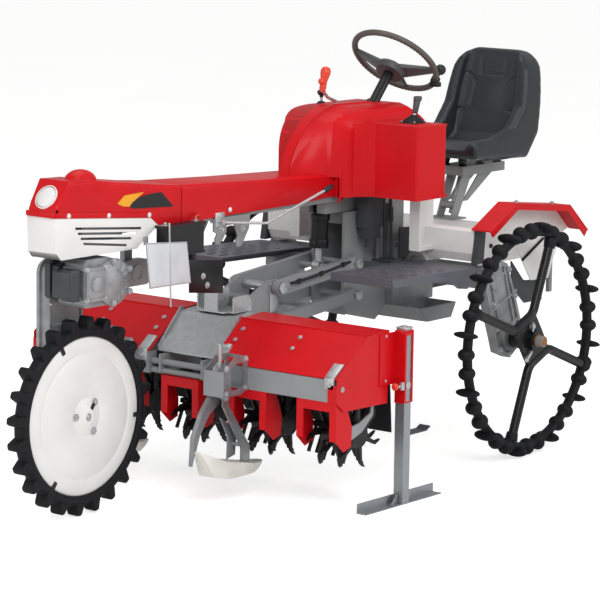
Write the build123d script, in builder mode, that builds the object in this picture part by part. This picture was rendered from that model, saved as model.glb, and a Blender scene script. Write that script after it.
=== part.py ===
# Three-wheeled riding weeder for rice paddies, with a four-row weeding unit hung between its axles.
# Millimetres. +X points forward, +Y to the machine's left and +Z up. The origin is on the ground,
# at the middle of the machine's length and width. Distances along the machine are measured back
# from the front axle, and the function behind turns them into X.
import math
import os

from build123d import *

os.makedirs("parts", exist_ok=True)

# Driving dimensions of the running gear
WHEELBASE = 1787
REAR_TRACK = 1200
ROW_SPACING = 300
FRONT_WHEEL_R = 338
REAR_WHEEL_R = 435
FRONT_AXLE_X = 1070

# Front wheel and the leg that steers it
FRONT_LUGS = 24
FRONT_DISC_R = 275
FRONT_TREAD_R = 306
FRONT_LUG_HALF = 30
LEG_HALF = 84
LEG_Y = (-116, -64)
LEG_TOP = 860
SWIVEL_R = 26

# Rear wheels
REAR_PADDLES = 12
REAR_RING_R = (383, 409)
REAR_RING_HALF = 18
REAR_PADDLE_HALF = 52
REAR_LOBE_HALF = 28
SPOKE_R = 17
SPOKE_OFFSET = 9
AXLE_R = 20

# Hood, beam cover and frame
COVER_HALF = 150
PANEL = 4
FRAME_Y = (50, 90)
FRAME_Z = (900, 960)

# Cowl and lever box
COWL_HALF = 150
COWL_FOOT_Z = 968
LEVER_BOX_Y = 392
LEVER_BOX_Z = (968, 1233)

# Steering wheel
STEERING_HUB = (1716, 1398)
RIM_R = 166
RIM_TUBE_R = 12.5
RIM_RISE = 38
COLUMN_TILT = 42
COLUMN_R = 19

# Seat
SEAT_HALF = 192
SEAT_REAR_X = -(FRONT_AXLE_X + FRONT_WHEEL_R)

# Lift linkage: an upper and a lower arm of one length on each side
LIFT_REAR = (1382, 712)
LIFT_FRONT = (937, 672)
LIFT_DROP = 117
LIFT_ARM_Y = (84, 108)
LIFT_PIN_R = 10
LOWER_PIN_R = 9
RUNNING_GAP = 0.05
CYLINDER_TOP = (1297, 915)
CYLINDER_EYE = (1287, 703.5)

# Rear hitch
HITCH_BORE_R = 11

# Weeding unit
BEAM_FRONT = 508
BEAM_Z = (395, 471)
BEAM_HALF = 672
COVER_RIDGE = (675, 602)
COVER_REAR = (795, 609)
ROTOR_CENTRE = (664, 262)
ROTOR_R = 118
ROTOR_HALF = 70
ROTOR_CASE_HALF = 8
ROTOR_SHAFT_R = 12
TINES = 3
TINE_WIDE = 9
TINE_ROWS = 6

# Parking stands
STAND_BACK = 850
STAND_Y = 712
STAND_TOP = 612
STAND_FOOT = (623, 1062)

# Row skids
SKID_Y = 260


def behind(distance):
    """X of a point that lies this far behind the front axle."""
    return FRONT_AXLE_X - distance


def block(x, y, z, mode=Mode.ADD):
    """A block between pairs of limits, added to the part that is being built."""
    middle = ((x[0] + x[1]) / 2, (y[0] + y[1]) / 2, (z[0] + z[1]) / 2)
    with Locations(middle):
        Box(abs(x[1] - x[0]), abs(y[1] - y[0]), abs(z[1] - z[0]), mode=mode)


def side_plate(outline, y, mode=Mode.ADD):
    """A plate between two Y limits, from an outline of (distance behind the front axle, height)."""
    with BuildSketch(Plane.XZ.offset(-y[1])) as profile:
        with BuildLine():
            Polyline(*[(behind(d), z) for d, z in outline], close=True)
        make_face()
    extrude(profile.sketch, amount=y[1] - y[0], mode=mode)


def cross_bar(at, y, radius, mode=Mode.ADD):
    """A round bar or hole along Y at (distance behind the front axle, height)."""
    with BuildSketch(Plane.XZ.offset(-y[1])) as section:
        with Locations((behind(at[0]), at[1])):
            Circle(radius)
    extrude(section.sketch, amount=y[1] - y[0], mode=mode)


def round_bar(start, end, radius, mode=Mode.ADD):
    """A round bar or hole between two points."""
    run = Vector(*end) - Vector(*start)
    with BuildSketch(Plane(origin=start, z_dir=run)) as section:
        Circle(radius)
    extrude(section.sketch, amount=run.length, mode=mode)


def bent_bar(points, bend, radius):
    """A round bar along straight runs with rounded corners."""
    with BuildLine() as route:
        FilletPolyline(*points, radius=bend)
    start = Vector(*points[0])
    with BuildSketch(Plane(origin=start, z_dir=Vector(*points[1]) - start)) as section:
        Circle(radius)
    sweep(section.sketch, path=route.line)


def save(builder, label):
    """Label a finished piece and write it to its own file."""
    builder.part.label = label
    export_step(builder.part, f"parts/{label}.step")


# Front wheel: a rubber ring with rounded lugs on a smooth dished disc
front_hub = (FRONT_AXLE_X, 0, FRONT_WHEEL_R)
front_face = Plane(origin=front_hub, x_dir=(1, 0, 0), z_dir=(0, -1, 0))
front_section = Plane(origin=front_hub, x_dir=(1, 0, 0), z_dir=(0, 0, 1))

with BuildPart() as front_tyre:
    with BuildSketch(front_face):
        Circle(FRONT_TREAD_R)
        Circle(FRONT_DISC_R - 4, mode=Mode.SUBTRACT)
    extrude(amount=24, both=True)
    with BuildSketch(front_face):
        with PolarLocations(0, FRONT_LUGS):
            Polygon(
                (298, -21), (324, -20), (FRONT_WHEEL_R, -9), (FRONT_WHEEL_R, 9), (324, 20), (298, 21),
                align=None,
            )
    extrude(amount=FRONT_LUG_HALF, both=True)
save(front_tyre, "front_tyre")

with BuildPart() as front_disc:
    with BuildSketch(front_section):
        with BuildLine():
            Polyline(
                (0, 39), (24, 39), (30, 34), (60, 30), (210, 22), (216, 18), (FRONT_DISC_R - 4, 18),
                (FRONT_DISC_R - 4, 10), (200, 10), (60, 18), (42, -28), (0, -28), close=True,
            )
        make_face()
    revolve(axis=Axis(front_hub, (0, 1, 0)))
    round_bar((FRONT_AXLE_X, -100, FRONT_WHEEL_R), (FRONT_AXLE_X, -20, FRONT_WHEEL_R), AXLE_R)
save(front_disc, "front_wheel_disc")

# Steering leg: a flat drive case down the far side of the front wheel
with BuildPart() as steer_leg:
    with BuildSketch(Plane.XZ.offset(-LEG_Y[1])):
        with Locations((FRONT_AXLE_X + 8, (LEG_TOP + FRONT_WHEEL_R - LEG_HALF) / 2)):
            RectangleRounded(2 * LEG_HALF, LEG_TOP - FRONT_WHEEL_R + LEG_HALF, 40)
    extrude(amount=LEG_Y[1] - LEG_Y[0])
    with BuildSketch(Plane.XZ.offset(-(LEG_Y[0] + LEG_Y[1]) / 2 + 4)):
        with Locations((FRONT_AXLE_X + 8, (LEG_TOP + FRONT_WHEEL_R - LEG_HALF) / 2)):
            RectangleRounded(2 * LEG_HALF + 20, LEG_TOP - FRONT_WHEEL_R + LEG_HALF + 20, 50)
    extrude(amount=8)
    round_bar(
        (FRONT_AXLE_X, -102, FRONT_WHEEL_R), (FRONT_AXLE_X, 0, FRONT_WHEEL_R), AXLE_R + RUNNING_GAP, Mode.SUBTRACT
    )
save(steer_leg, "steering_leg_case")

with BuildPart() as gear_head:
    side_plate([(-66, 728), (-66, 862), (-52, 876), (60, 876), (60, 716), (-52, 716)], (-40, 72))
    cross_bar((72, 792), (-40, 84), 78)
    side_plate([(-80, 740), (-80, 852), (18, 852), (18, 740)], (-10, 84))
    with BuildSketch(Plane.XZ.offset(-84)) as cover:
        with Locations((behind(-30), 796)):
            RectangleRounded(100, 112, 12)
    extrude(cover.sketch, amount=-14)
    cross_bar((-38, 798), (98, 106), 24)
    round_bar((FRONT_AXLE_X, 0, 860), (FRONT_AXLE_X, 0, 930), SWIVEL_R)
save(gear_head, "swivel_gear_head")

with BuildPart() as drive_cover:
    side_plate([(-108, 752), (-108, 858), (-92, 872), (-4, 872), (-4, 742), (-98, 742)], (-64, -40))
    side_plate([(-98, 760), (-98, 852), (-80, 862), (-66, 862), (-66, 750), (-88, 750)], (-40, -12))
save(drive_cover, "swivel_drive_cover")

# Rear wheels: a round ring with paddles and lobes of rubber, on two bent spoke tubes
def rear_ring(side):
    """The rubber ring with twelve broad oval paddles and two rounded lobes between each pair."""
    hub = (behind(WHEELBASE), side * REAR_TRACK / 2, REAR_WHEEL_R)
    face = Plane(origin=hub, x_dir=(1, 0, 0), z_dir=(0, -1, 0))
    lobe_top = REAR_WHEEL_R - 9
    reach = REAR_PADDLE_HALF
    with BuildPart() as ring:
        with BuildSketch(face):
            Circle(REAR_RING_R[1])
            Circle(REAR_RING_R[0], mode=Mode.SUBTRACT)
        extrude(amount=REAR_RING_HALF, both=True)
        with BuildSketch(face):
            for turn in (10, 20):
                with PolarLocations(0, REAR_PADDLES, start_angle=turn):
                    Polygon((398, -26), (417, -20), (lobe_top, 0), (417, 20), (398, 26), align=None)
        extrude(amount=REAR_LOBE_HALF, both=True)
        for n in range(REAR_PADDLES):
            turn = math.radians(n * 360 / REAR_PADDLES)
            across = Plane(origin=hub, x_dir=(0, 1, 0), z_dir=(math.sin(turn), 0, -math.cos(turn)))
            with BuildSketch(across):
                Polygon(
                    (-14, 396), (6 - reach, 404), (-reach, 418), (14 - reach, 431), (-18, REAR_WHEEL_R),
                    (18, REAR_WHEEL_R), (reach - 14, 431), (reach, 418), (reach - 6, 404), (14, 396),
                    align=None,
                )
            extrude(amount=6, both=True)
    return ring


def rear_spider(side):
    """Two bent spoke tubes, back to back, on a star-shaped hub plate and a sleeve for the axle."""
    y = side * (REAR_TRACK / 2 + SPOKE_OFFSET)
    x = behind(WHEELBASE)
    with BuildPart() as spider:
        for turn in (1, -1):
            points = [(384, 152), (112, 46), (-8, 96), (-116, 368)]
            bent_bar(
                [(x + turn * px, y, REAR_WHEEL_R + turn * pz) for px, pz in points], (60, 60), SPOKE_R
            )
        hub_plane = Plane(origin=(x, y, REAR_WHEEL_R), x_dir=(1, 0, 0), z_dir=(0, -1, 0))
        with BuildSketch(hub_plane):
            with BuildLine():
                Polyline(
                    (104, 34), (40, 92), (-18, 92), (-62, 30), (-104, -34), (-40, -92), (18, -92),
                    (62, -30), close=True,
                )
            make_face()
        extrude(amount=8, both=True)
        round_bar((x, y - side * 74, REAR_WHEEL_R), (x, y + side * 30, REAR_WHEEL_R), 38)
        round_bar((x, y - 120, REAR_WHEEL_R), (x, y + 120, REAR_WHEEL_R), AXLE_R + RUNNING_GAP, Mode.SUBTRACT)
        with BuildSketch(Plane(origin=(x, y, REAR_WHEEL_R), x_dir=(1, 0, 0), z_dir=(0, -1, 0))):
            Circle(REAR_RING_R[0])
        extrude(amount=120, both=True, mode=Mode.INTERSECT)
    return spider


for side, name in ((1, "left"), (-1, "right")):
    save(rear_ring(side), f"rear_tyre_{name}")
    save(rear_spider(side), f"rear_spider_{name}")

# The two hooked plates below each frame tube, where the lift's lock lever turns
HOOKS = [
    (572, 955), (770, 955), (764, 905), (724, 846), (700, 843), (692, 862), (704, 884), (684, 925), (640, 925),
    (640, 905), (622, 880), (600, 862), (582, 866), (580, 884), (592, 900), (572, 910),
]
HOOK_HOLES = [(612, 912, 12), (728, 905, 13)]

# Frame: two long tubes from the engine plate to the rear gear case, with hooked plates on their sides
with BuildPart() as frame:
    for side in (1, -1):
        block((behind(-200), behind(1602)), sorted((side * FRAME_Y[0], side * FRAME_Y[1])), FRAME_Z)
        side_plate(HOOKS, sorted((side * FRAME_Y[1], side * (FRAME_Y[1] + 7))))
        for d, z, radius in HOOK_HOLES:
            cross_bar((d, z), sorted((side * (FRAME_Y[1] + 0.01), side * (FRAME_Y[1] + 8))), radius, Mode.SUBTRACT)
    for d in (-180, 300, 1000, 1580):
        block((behind(d - 20), behind(d + 20)), (-FRAME_Y[0], FRAME_Y[0]), FRAME_Z)
save(frame, "main_frame")

with BuildPart() as engine_plate:
    block((behind(-235), behind(170)), (-130, 135), (898, 900))
    block((behind(-235), behind(170)), (-130, -122), (900, 930))
    block((behind(-235), behind(170)), (127, 135), (900, 930))
    round_bar((FRONT_AXLE_X, 0, 882), (FRONT_AXLE_X, 0, 899), 44)
    round_bar((FRONT_AXLE_X, 0, 880), (FRONT_AXLE_X, 0, 910), SWIVEL_R + RUNNING_GAP, Mode.SUBTRACT)
save(engine_plate, "engine_plate")

with BuildPart() as engine:
    block((behind(-190), behind(190)), (-115, 115), (960, 1110))
    round_bar((behind(-60), -135, 1040), (behind(-60), 135, 1040), 62)
save(engine, "engine")

# Battery and drive box between the tubes and the hood, and a blank notice plate on a bracket
with BuildPart() as battery:
    block((behind(272), behind(466)), (94, 140), (861, 952))
    block((behind(266), behind(472)), (90, 143), (952, 962))
    block((behind(266), behind(472)), (90, 143), (855, 861))
save(battery, "battery")

with BuildPart() as drive_box:
    with BuildSketch(Plane.XZ):
        with Locations((behind(282), 789)):
            RectangleRounded(124, 88, 14)
    extrude(amount=40)
    cross_bar((282, 789), (0, 6), 30)
    cross_bar((282, 789), (3, 7), 20, Mode.SUBTRACT)
    block((behind(262), behind(302)), (-60, -40), (745, 900))
save(drive_box, "drive_box")

NOTICE = [(154, 920), (365, 903), (388, 759), (174, 763)]
with BuildPart() as notice_plate:
    side_plate(NOTICE, (148, 150))
    block((behind(210), behind(230)), (90, 148), (902, 906))
    block((behind(210), behind(230)), (90, 94), (902, 930))
save(notice_plate, "notice_plate")

# Hood: a red top with a sloped nose over a white skirt with four slots on each side
HOOD_TOP = [
    (-265, 1046), (-265, 1074), (-205, 1118), (-160, 1135), (-60, 1162), (20, 1166), (200, 1128), (330, 1098),
    (330, 968), (210, 975), (170, 1003),
]
with BuildPart() as hood:
    side_plate(HOOD_TOP, (-COVER_HALF, COVER_HALF))
    fillet(hood.edges().filter_by(Axis.Z).group_by(Axis.X)[-1], 26)
    crown = [e for e in hood.edges() if e.center().Z > 1095 and abs(abs(e.center().Y) - COVER_HALF) < 1]
    chamfer(crown, 8)
    side_plate(
        [(-258, 1000), (-258, 1068), (-200, 1110), (-58, 1154), (20, 1158), (200, 1120), (340, 1088), (340, 940),
         (170, 940)],
        (-COVER_HALF + 12, COVER_HALF - 12), Mode.SUBTRACT,
    )
    side_plate(
        [(-258, 1000), (-258, 1068), (-200, 1104), (-58, 1144), (20, 1148), (200, 1110), (340, 1078), (340, 940),
         (170, 940)],
        (-COVER_HALF + PANEL, COVER_HALF - PANEL), Mode.SUBTRACT,
    )
save(hood, "hood")

# The slots of the skirt: front end, rear end, and the heights of the two ends' middles
SKIRT_SLOTS = [
    (-178, 122, 1003, 972),
    (-166, 97, 985, 958),
    (-154, 76, 967, 943),
    (-142, 54, 949, 922),
]
with BuildPart() as skirt:
    side_plate(
        [(-262, 930), (-265, 1045), (170, 1002), (209, 974), (100, 905), (-240, 905)], (-COVER_HALF, COVER_HALF)
    )
    side_plate(
        [(-258, 880), (-261, 1060), (260, 1060), (260, 880)], (-COVER_HALF + PANEL, COVER_HALF - PANEL), Mode.SUBTRACT
    )
    for front, rear, front_z, rear_z in SKIRT_SLOTS:
        side_plate(
            [(front, front_z - 4), (front, front_z + 4), (rear, rear_z + 4), (rear, rear_z - 4)],
            (-COVER_HALF - 1, COVER_HALF + 1), Mode.SUBTRACT,
        )
save(skirt, "hood_skirt")

BEAM_COVER = [(332, 1098), (700, 1080), (1240, 1060), (1240, 985), (1024, 974), (332, 968)]
with BuildPart() as beam_cover:
    side_plate(BEAM_COVER, (-COVER_HALF, COVER_HALF))
    crown = [e for e in beam_cover.edges() if e.center().Z > 1061 and abs(abs(e.center().Y) - COVER_HALF) < 1]
    chamfer(crown, 8)
    side_plate(
        [(331, 1094), (700, 1076), (1241, 1056), (1241, 940), (331, 940)],
        (-COVER_HALF + 12, COVER_HALF - 12), Mode.SUBTRACT,
    )
    side_plate(
        [(331, 1084), (700, 1066), (1241, 1046), (1241, 940), (331, 940)],
        (-COVER_HALF + PANEL, COVER_HALF - PANEL), Mode.SUBTRACT,
    )
save(beam_cover, "beam_cover")

# Steering axis, and the planes of the wheel's rim
column_axis = Vector(-math.sin(math.radians(COLUMN_TILT)), 0, math.cos(math.radians(COLUMN_TILT)))
wheel_hub = Vector(behind(STEERING_HUB[0]), 0, STEERING_HUB[1])
rim_plane = Plane(origin=wheel_hub, x_dir=(0, 1, 0), z_dir=column_axis)
rim_section = Plane(origin=wheel_hub, x_dir=(0, 1, 0), z_dir=Vector(0, 1, 0).cross(column_axis))

def cowl_form(inset):
    """The cowl's form, this much inside its outer face: side, plan and front views cut out of one another."""
    half = COWL_HALF - inset
    foot = (behind(1082 + inset), 1055)
    crown = (behind(1340), 1288 - inset)
    knee = (behind(1640), 1284 - inset)
    back = (behind(1790 - inset), 1170)
    low = COWL_FOOT_Z - (1 if inset else 0)
    with BuildPart() as form:
        with BuildSketch(Plane.XZ.offset(-half)):
            with BuildLine():
                ThreePointArc(foot, (behind(1168 + 0.8 * inset), 1205 - 0.6 * inset), crown)
                Polyline(crown, knee, back, (back[0], low), (foot[0], low), foot)
            make_face()
        extrude(amount=2 * half)
        with BuildSketch(Plane.XY.offset(low)):
            with BuildLine():
                for side in (1, -1):
                    start = (behind(1082 + inset), side * (30 - inset / 2))
                    waist = (behind(1288 + inset), side * half)
                    ThreePointArc(start, (behind(1160 + inset), side * (half - 34)), waist)
                    Line(waist, (behind(1800), side * half))
                Line((behind(1082 + inset), 30 - inset / 2), (behind(1082 + inset), inset / 2 - 30))
                Line((behind(1800), half), (behind(1800), -half))
            make_face()
        extrude(amount=400, mode=Mode.INTERSECT)
        with BuildSketch(Plane.YZ.offset(behind(1800))):
            with Locations((0, 1288 - inset - 300)):
                RectangleRounded(2 * half, 600, 78 - inset)
        extrude(amount=800, mode=Mode.INTERSECT)
    return form.part


# Cowl: a rounded dome over the steering gear, with a raised band up its front
cowl_outer = cowl_form(0)
cowl_inner = cowl_form(PANEL)
with BuildPart() as cowl:
    add(cowl_outer)
    with BuildSketch(Plane.XZ.offset(-28)):
        with BuildLine():
            ThreePointArc((behind(1076), 1062), (behind(1163), 1209), (behind(1340), 1293))
            Polyline(
                (behind(1340), 1293), (behind(1560), 1290), (behind(1560), 1270), (behind(1340), 1270),
                (behind(1200), 1180), (behind(1110), 1062), (behind(1076), 1062),
            )
        make_face()
    extrude(amount=56)
    add(cowl_inner, mode=Mode.SUBTRACT)
    block((behind(1050), behind(1241)), (-COWL_HALF - 2, COWL_HALF + 2), (COWL_FOOT_Z - 2, 1061), Mode.SUBTRACT)
    side_plate(
        [(1075, 1050), (1241, 1050), (1241, 1062.2), (1075, 1068.4)], (-COWL_HALF - 2, COWL_HALF + 2), Mode.SUBTRACT
    )
    round_bar(wheel_hub - column_axis * 300, wheel_hub, COLUMN_R + 1, Mode.SUBTRACT)
save(cowl, "cowl")

# Box for the gear lever, blended into the cowl's left side
with BuildPart() as lever_box:
    with BuildSketch(Plane.XY.offset(LEVER_BOX_Z[0])):
        with BuildLine():
            Polyline(
                (behind(1292), COWL_HALF + 0.5), (behind(1318), 166), (behind(1340), 182), (behind(1350), 204),
                (behind(1350), LEVER_BOX_Y), (behind(1530), LEVER_BOX_Y), (behind(1530), COWL_HALF + 0.5),
                close=True,
            )
        make_face()
    extrude(amount=LEVER_BOX_Z[1] - LEVER_BOX_Z[0])
    outer = lever_box.edges().filter_by(Axis.Z).group_by(Axis.Y)[-1]
    fillet(outer, 10)
    offset(amount=-PANEL, openings=lever_box.faces().sort_by(Axis.Z)[0])
save(lever_box, "lever_box")

# Control levers: bent rods, and the grips and knobs on them
with BuildPart() as lever_rods:
    round_bar((behind(1362), 12, 1293), (behind(1362), 12, 1304), 7)
    round_bar((behind(1362), 12, 1301), (behind(1262), 52, 1324), 6)
    round_bar((behind(1262), 52, 1324), (behind(1219), 60, 1354), 6)
    round_bar((behind(1370), -60, 1288), (behind(1370), -60, 1311), 5)
    round_bar((behind(1455), 290, 1237), (behind(1470), 290, 1268), 6)
    round_bar((behind(600), 112, 941), (behind(790), 156, 924), 5)
    round_bar((behind(790), 156, 924), (behind(1097), 170, 1011), 5)
save(lever_rods, "lever_rods")

with BuildPart() as lever_grips:
    round_bar((behind(1217), 60, 1357), (behind(1198), 62, 1392), 15)
    round_bar((behind(1198), 62, 1388), (behind(1250), 62, 1436), 16)
    round_bar((behind(1370), -60, 1312), (behind(1370), -60, 1336), 15)
    round_bar((behind(1472), 290, 1273), (behind(1486), 290, 1330), 13)
    round_bar((behind(1099), 170, 1014), (behind(1138), 171, 1024), 9)
    block((behind(1430), behind(1490)), (262, 318), (1233.5, 1258))
    round_bar((behind(1462), 290, 1230), (behind(1462), 290, 1260), 19, Mode.SUBTRACT)
save(lever_grips, "lever_grips")

# Steering column and wheel
with BuildPart() as column:
    round_bar(wheel_hub - column_axis * 470, wheel_hub - column_axis * 22, COLUMN_R)
    block((behind(1350), behind(1450)), (-62, 62), (960, 1075))
save(column, "steering_column")

knob_foot = wheel_hub + rim_plane.y_dir * (RIM_R * 0.8) + rim_plane.x_dir * (RIM_R * 0.6) + column_axis * RIM_RISE
with BuildPart() as steering_wheel:
    with BuildSketch(rim_section):
        with Locations((RIM_R, RIM_RISE)):
            RegularPolygon(RIM_TUBE_R, 8, rotation=22.5)
    revolve(axis=Axis(wheel_hub, column_axis))
    with BuildSketch(rim_plane.offset(-22)):
        Circle(54)
    extrude(amount=42, taper=12)
    for turn in (0, 120, 240):
        angle = math.radians(turn - 90)
        out = rim_plane.x_dir * math.cos(angle) + rim_plane.y_dir * math.sin(angle)
        run = out * (RIM_R - 44) + column_axis * RIM_RISE
        across = column_axis.cross(out)
        with BuildSketch(Plane(origin=wheel_hub + out * 40, x_dir=across, z_dir=run)):
            RectangleRounded(38, 14, 6)
        extrude(amount=run.length)
    with BuildSketch(Plane(origin=knob_foot, x_dir=rim_plane.x_dir, z_dir=rim_section.z_dir)):
        Polygon(
            (0, 0), (8, 0), (8, 26), (17, 34), (21, 46), (20, 56), (12, 66), (0, 69), align=None,
        )
    revolve(axis=Axis(knob_foot, column_axis))
save(steering_wheel, "steering_wheel")

# Seat: a one-piece bucket with raised sides, on rubber mounts over a sprung frame
with BuildPart() as seat:
    with BuildSketch(Plane.XZ.offset(-SEAT_HALF)):
        with BuildLine():
            Polyline(
                (SEAT_REAR_X + 466, 1042), (SEAT_REAR_X + 477, 1066), (SEAT_REAR_X + 472, 1100),
                (SEAT_REAR_X + 446, 1114), (SEAT_REAR_X + 330, 1116), (SEAT_REAR_X + 220, 1146),
                (SEAT_REAR_X + 150, 1230), (SEAT_REAR_X + 108, 1400), (SEAT_REAR_X + 84, 1432),
                (SEAT_REAR_X + 50, 1438), (SEAT_REAR_X + 12, 1430), (SEAT_REAR_X, 1396),
                (SEAT_REAR_X + 36, 1120), (SEAT_REAR_X + 110, 1026), close=True,
            )
        make_face()
    extrude(amount=2 * SEAT_HALF)
    with BuildSketch(Plane.YZ.offset(SEAT_REAR_X - 1)):
        with Locations((0, 1168)):
            RectangleRounded(2 * SEAT_HALF, 540, 88)
    extrude(amount=600, mode=Mode.INTERSECT)
    with BuildSketch(Plane.XZ.offset(-SEAT_HALF + 52)):
        with BuildLine():
            Polyline(
                (SEAT_REAR_X + 560, 1088), (SEAT_REAR_X + 300, 1074), (SEAT_REAR_X + 190, 1078),
                (SEAT_REAR_X + 142, 1112), (SEAT_REAR_X + 74, 1400), (SEAT_REAR_X + 66, 1470),
                (SEAT_REAR_X + 560, 1470), close=True,
            )
        make_face()
    extrude(amount=2 * SEAT_HALF - 104, mode=Mode.SUBTRACT)
save(seat, "seat")

with BuildPart() as seat_frame:
    block((behind(2115), behind(2400)), (-60, 60), (965, 1000))
    block((behind(2122), behind(2394)), (-56, 56), (964, 995), Mode.SUBTRACT)
    for d, y in ((2140, 40), (2375, 40), (2140, -40), (2375, -40)):
        round_bar((behind(d), y, 1000), (behind(d), y, 1023), 13)
    for y in ((-36, -30), (30, 36)):
        side_plate([(2160, 1000), (2215, 1000), (2200, 950), (2120, 798), (2075, 798)], y)
        side_plate([(2300, 1000), (2345, 1000), (2345, 960), (2185, 862), (2155, 862)], y)
    block((behind(2060), behind(2140)), (-64, 64), (798, 804))
    round_bar((behind(2110), -32, 850), (behind(2110), 32, 850), 14)
save(seat_frame, "seat_frame")

# Rear gear cases, axles and body
with BuildPart() as gear_case:
    block((behind(1602), behind(1860)), (-110, 110), (530, 765))
    block((behind(1602), behind(1690)), (-90, 90), (765, 960))
    round_bar((behind(1710), -476, 660), (behind(1710), 476, 660), 46)
    for y in (-128, 110):
        round_bar((behind(1710), y, 660), (behind(1710), y + 18, 660), 66)
save(gear_case, "rear_gear_case")

with BuildPart() as belly_guard:
    for y in ((-240, -232), (232, 240), (-110, -102), (102, 110)):
        side_plate([(1610, 530), (1650, 476), (1800, 476), (1830, 530)], y)
    side_plate([(1606, 530), (1646, 476), (1652, 476), (1614, 530)], (-232, 232))
    side_plate([(1798, 476), (1804, 476), (1834, 530), (1828, 530)], (-232, 232))
    for d in (1660, 1740):
        block((behind(d), behind(d + 40)), (-232, 232), (476, 482))
save(belly_guard, "belly_guard")

# The final drive's outline, round the input shaft at its top and the axle at its foot
FINAL_DRIVE = [
    (1632, 690), (1690, 738), (1760, 712), (1812, 600), (1866, 470), (1852, 396), (1790, 356), (1722, 382),
    (1700, 440), (1650, 560), (1626, 622),
]
drive_middle = (1740, 545)
with BuildPart() as final_drives:
    for side in (1, -1):
        side_plate(FINAL_DRIVE, sorted((side * 476, side * 516)))
        inner = [(drive_middle[0] + 0.84 * (d - drive_middle[0]), drive_middle[1] + 0.9 * (z - drive_middle[1]))
                 for d, z in FINAL_DRIVE]
        side_plate(inner, sorted((side * 507, side * 517)), Mode.SUBTRACT)
        rib_y = sorted((side * 503, side * 514))
        for start, end in (((1650, 640), (1785, 690)), ((1670, 540), (1830, 600)), ((1712, 440), (1856, 500))):
            side_plate([start, end, (end[0] - 3, end[1] + 9), (start[0] - 3, start[1] + 9)], rib_y)
        for start, end in (((1645, 685), (1760, 385)), ((1735, 712), (1842, 405))):
            side_plate([start, (start[0] + 10, start[1]), (end[0] + 10, end[1]), end], rib_y)
        cross_bar((1690, 660), sorted((side * 503, side * 520)), 40)
        cross_bar((WHEELBASE, REAR_WHEEL_R), sorted((side * 503, side * 526)), 52)
        cross_bar((WHEELBASE, REAR_WHEEL_R), sorted((side * 520, side * 668)), AXLE_R)
save(final_drives, "final_drives")

# Mudguards: bent plates with a turned-down outer edge, each on a dark bracket at its front
MUDGUARD_TOP = [(1575, 854), (1744, 940), (2100, 902), (2227, 796)]
MUDGUARD_Y = (478, 562)
with BuildPart() as mudguards:
    for side in (1, -1):
        under = [(d - 2 if d > 2200 else d, z - 4) for d, z in reversed(MUDGUARD_TOP)]
        side_plate(MUDGUARD_TOP + under, sorted((side * MUDGUARD_Y[0], side * MUDGUARD_Y[1])))
        lip = [(d + 0.06 * (1900 - d), z - 24) for d, z in reversed(MUDGUARD_TOP)]
        side_plate(MUDGUARD_TOP + lip, sorted((side * (MUDGUARD_Y[1] - 4), side * MUDGUARD_Y[1])))
save(mudguards, "mudguards")

# White body: a deck under the seat, hollow wings at its sides and an upright at each wing's front
with BuildPart() as rear_body:
    block((behind(1772), behind(2100)), (-255, 255), (770, 798))
    for side in (1, -1):
        side_plate(
            [(1590, 762), (1590, 842), (1604, 852), (2100, 806), (2100, 712), (1640, 712), (1604, 730)],
            sorted((side * 255, side * 474)),
        )
        side_plate(
            [(1600, 706), (2110, 706), (2110, 790), (1640, 790), (1610, 770)],
            sorted((side * 262, side * 468)), Mode.SUBTRACT,
        )
        side_plate(
            [(1500, 762), (1500, 960), (1640, 960), (1640, 715), (1604, 715), (1560, 762)],
            sorted((side * 255, side * 262)),
        )
        side_plate(
            [(1500, 762), (1500, 960), (1506, 960), (1506, 775), (1590, 775), (1590, 762)],
            sorted((side * 262, side * 300)),
        )
        block((behind(1772), behind(1784)), sorted((side * 140, side * 152)), (650, 771))
save(rear_body, "rear_body")

with BuildPart() as inner_fenders:
    for side in (1, -1):
        side_plate(
            [(1590, 760), (1590, 858), (1744, 937), (2100, 899), (2222, 797), (2172, 780), (2110, 660),
             (2092, 616), (1974, 621), (1900, 720), (1875, 760)],
            sorted((side * 474, side * 478)),
        )
save(inner_fenders, "inner_fenders")

with BuildPart() as rear_hitch:
    for y in ((-446, -440), (440, 446)):
        side_plate([(1890, 700), (1976, 616), (2092, 611), (2102, 530), (1985, 530), (1900, 600)], y)
    block((behind(2040), behind(2080)), (-440, 440), (560, 600))
    for y in ((-90, -60), (60, 90)):
        block((behind(1860), behind(2040)), y, (560, 600))
    for y in ((-46, -38), (38, 46)):
        side_plate([(2080, 605), (2120, 605), (2150, 590), (2150, 570), (2120, 555), (2080, 555)], y)
    cross_bar((2128, 580), (-50, 50), HITCH_BORE_R, Mode.SUBTRACT)
save(rear_hitch, "rear_hitch")

# Dark brackets: one at the front of each mudguard, and a panel on each side of the gear case's neck
with BuildPart() as body_brackets:
    for side in (1, -1):
        side_plate(
            [(1600, 861), (1665, 894), (1650, 722), (1575, 722)], sorted((side * 479, side * 484))
        )
        side_plate([(1600, 861), (1605, 863), (1580, 722), (1575, 722)], sorted((side * 484, side * 504)))
        side_plate([(1592, 828), (1746, 815), (1746, 730), (1660, 730), (1640, 712), (1592, 712)],
                   sorted((side * 140, side * 146)))
        block((behind(1640), behind(1680)), sorted((side * 110, side * 140)), (742, 756))
save(body_brackets, "body_brackets")

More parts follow.
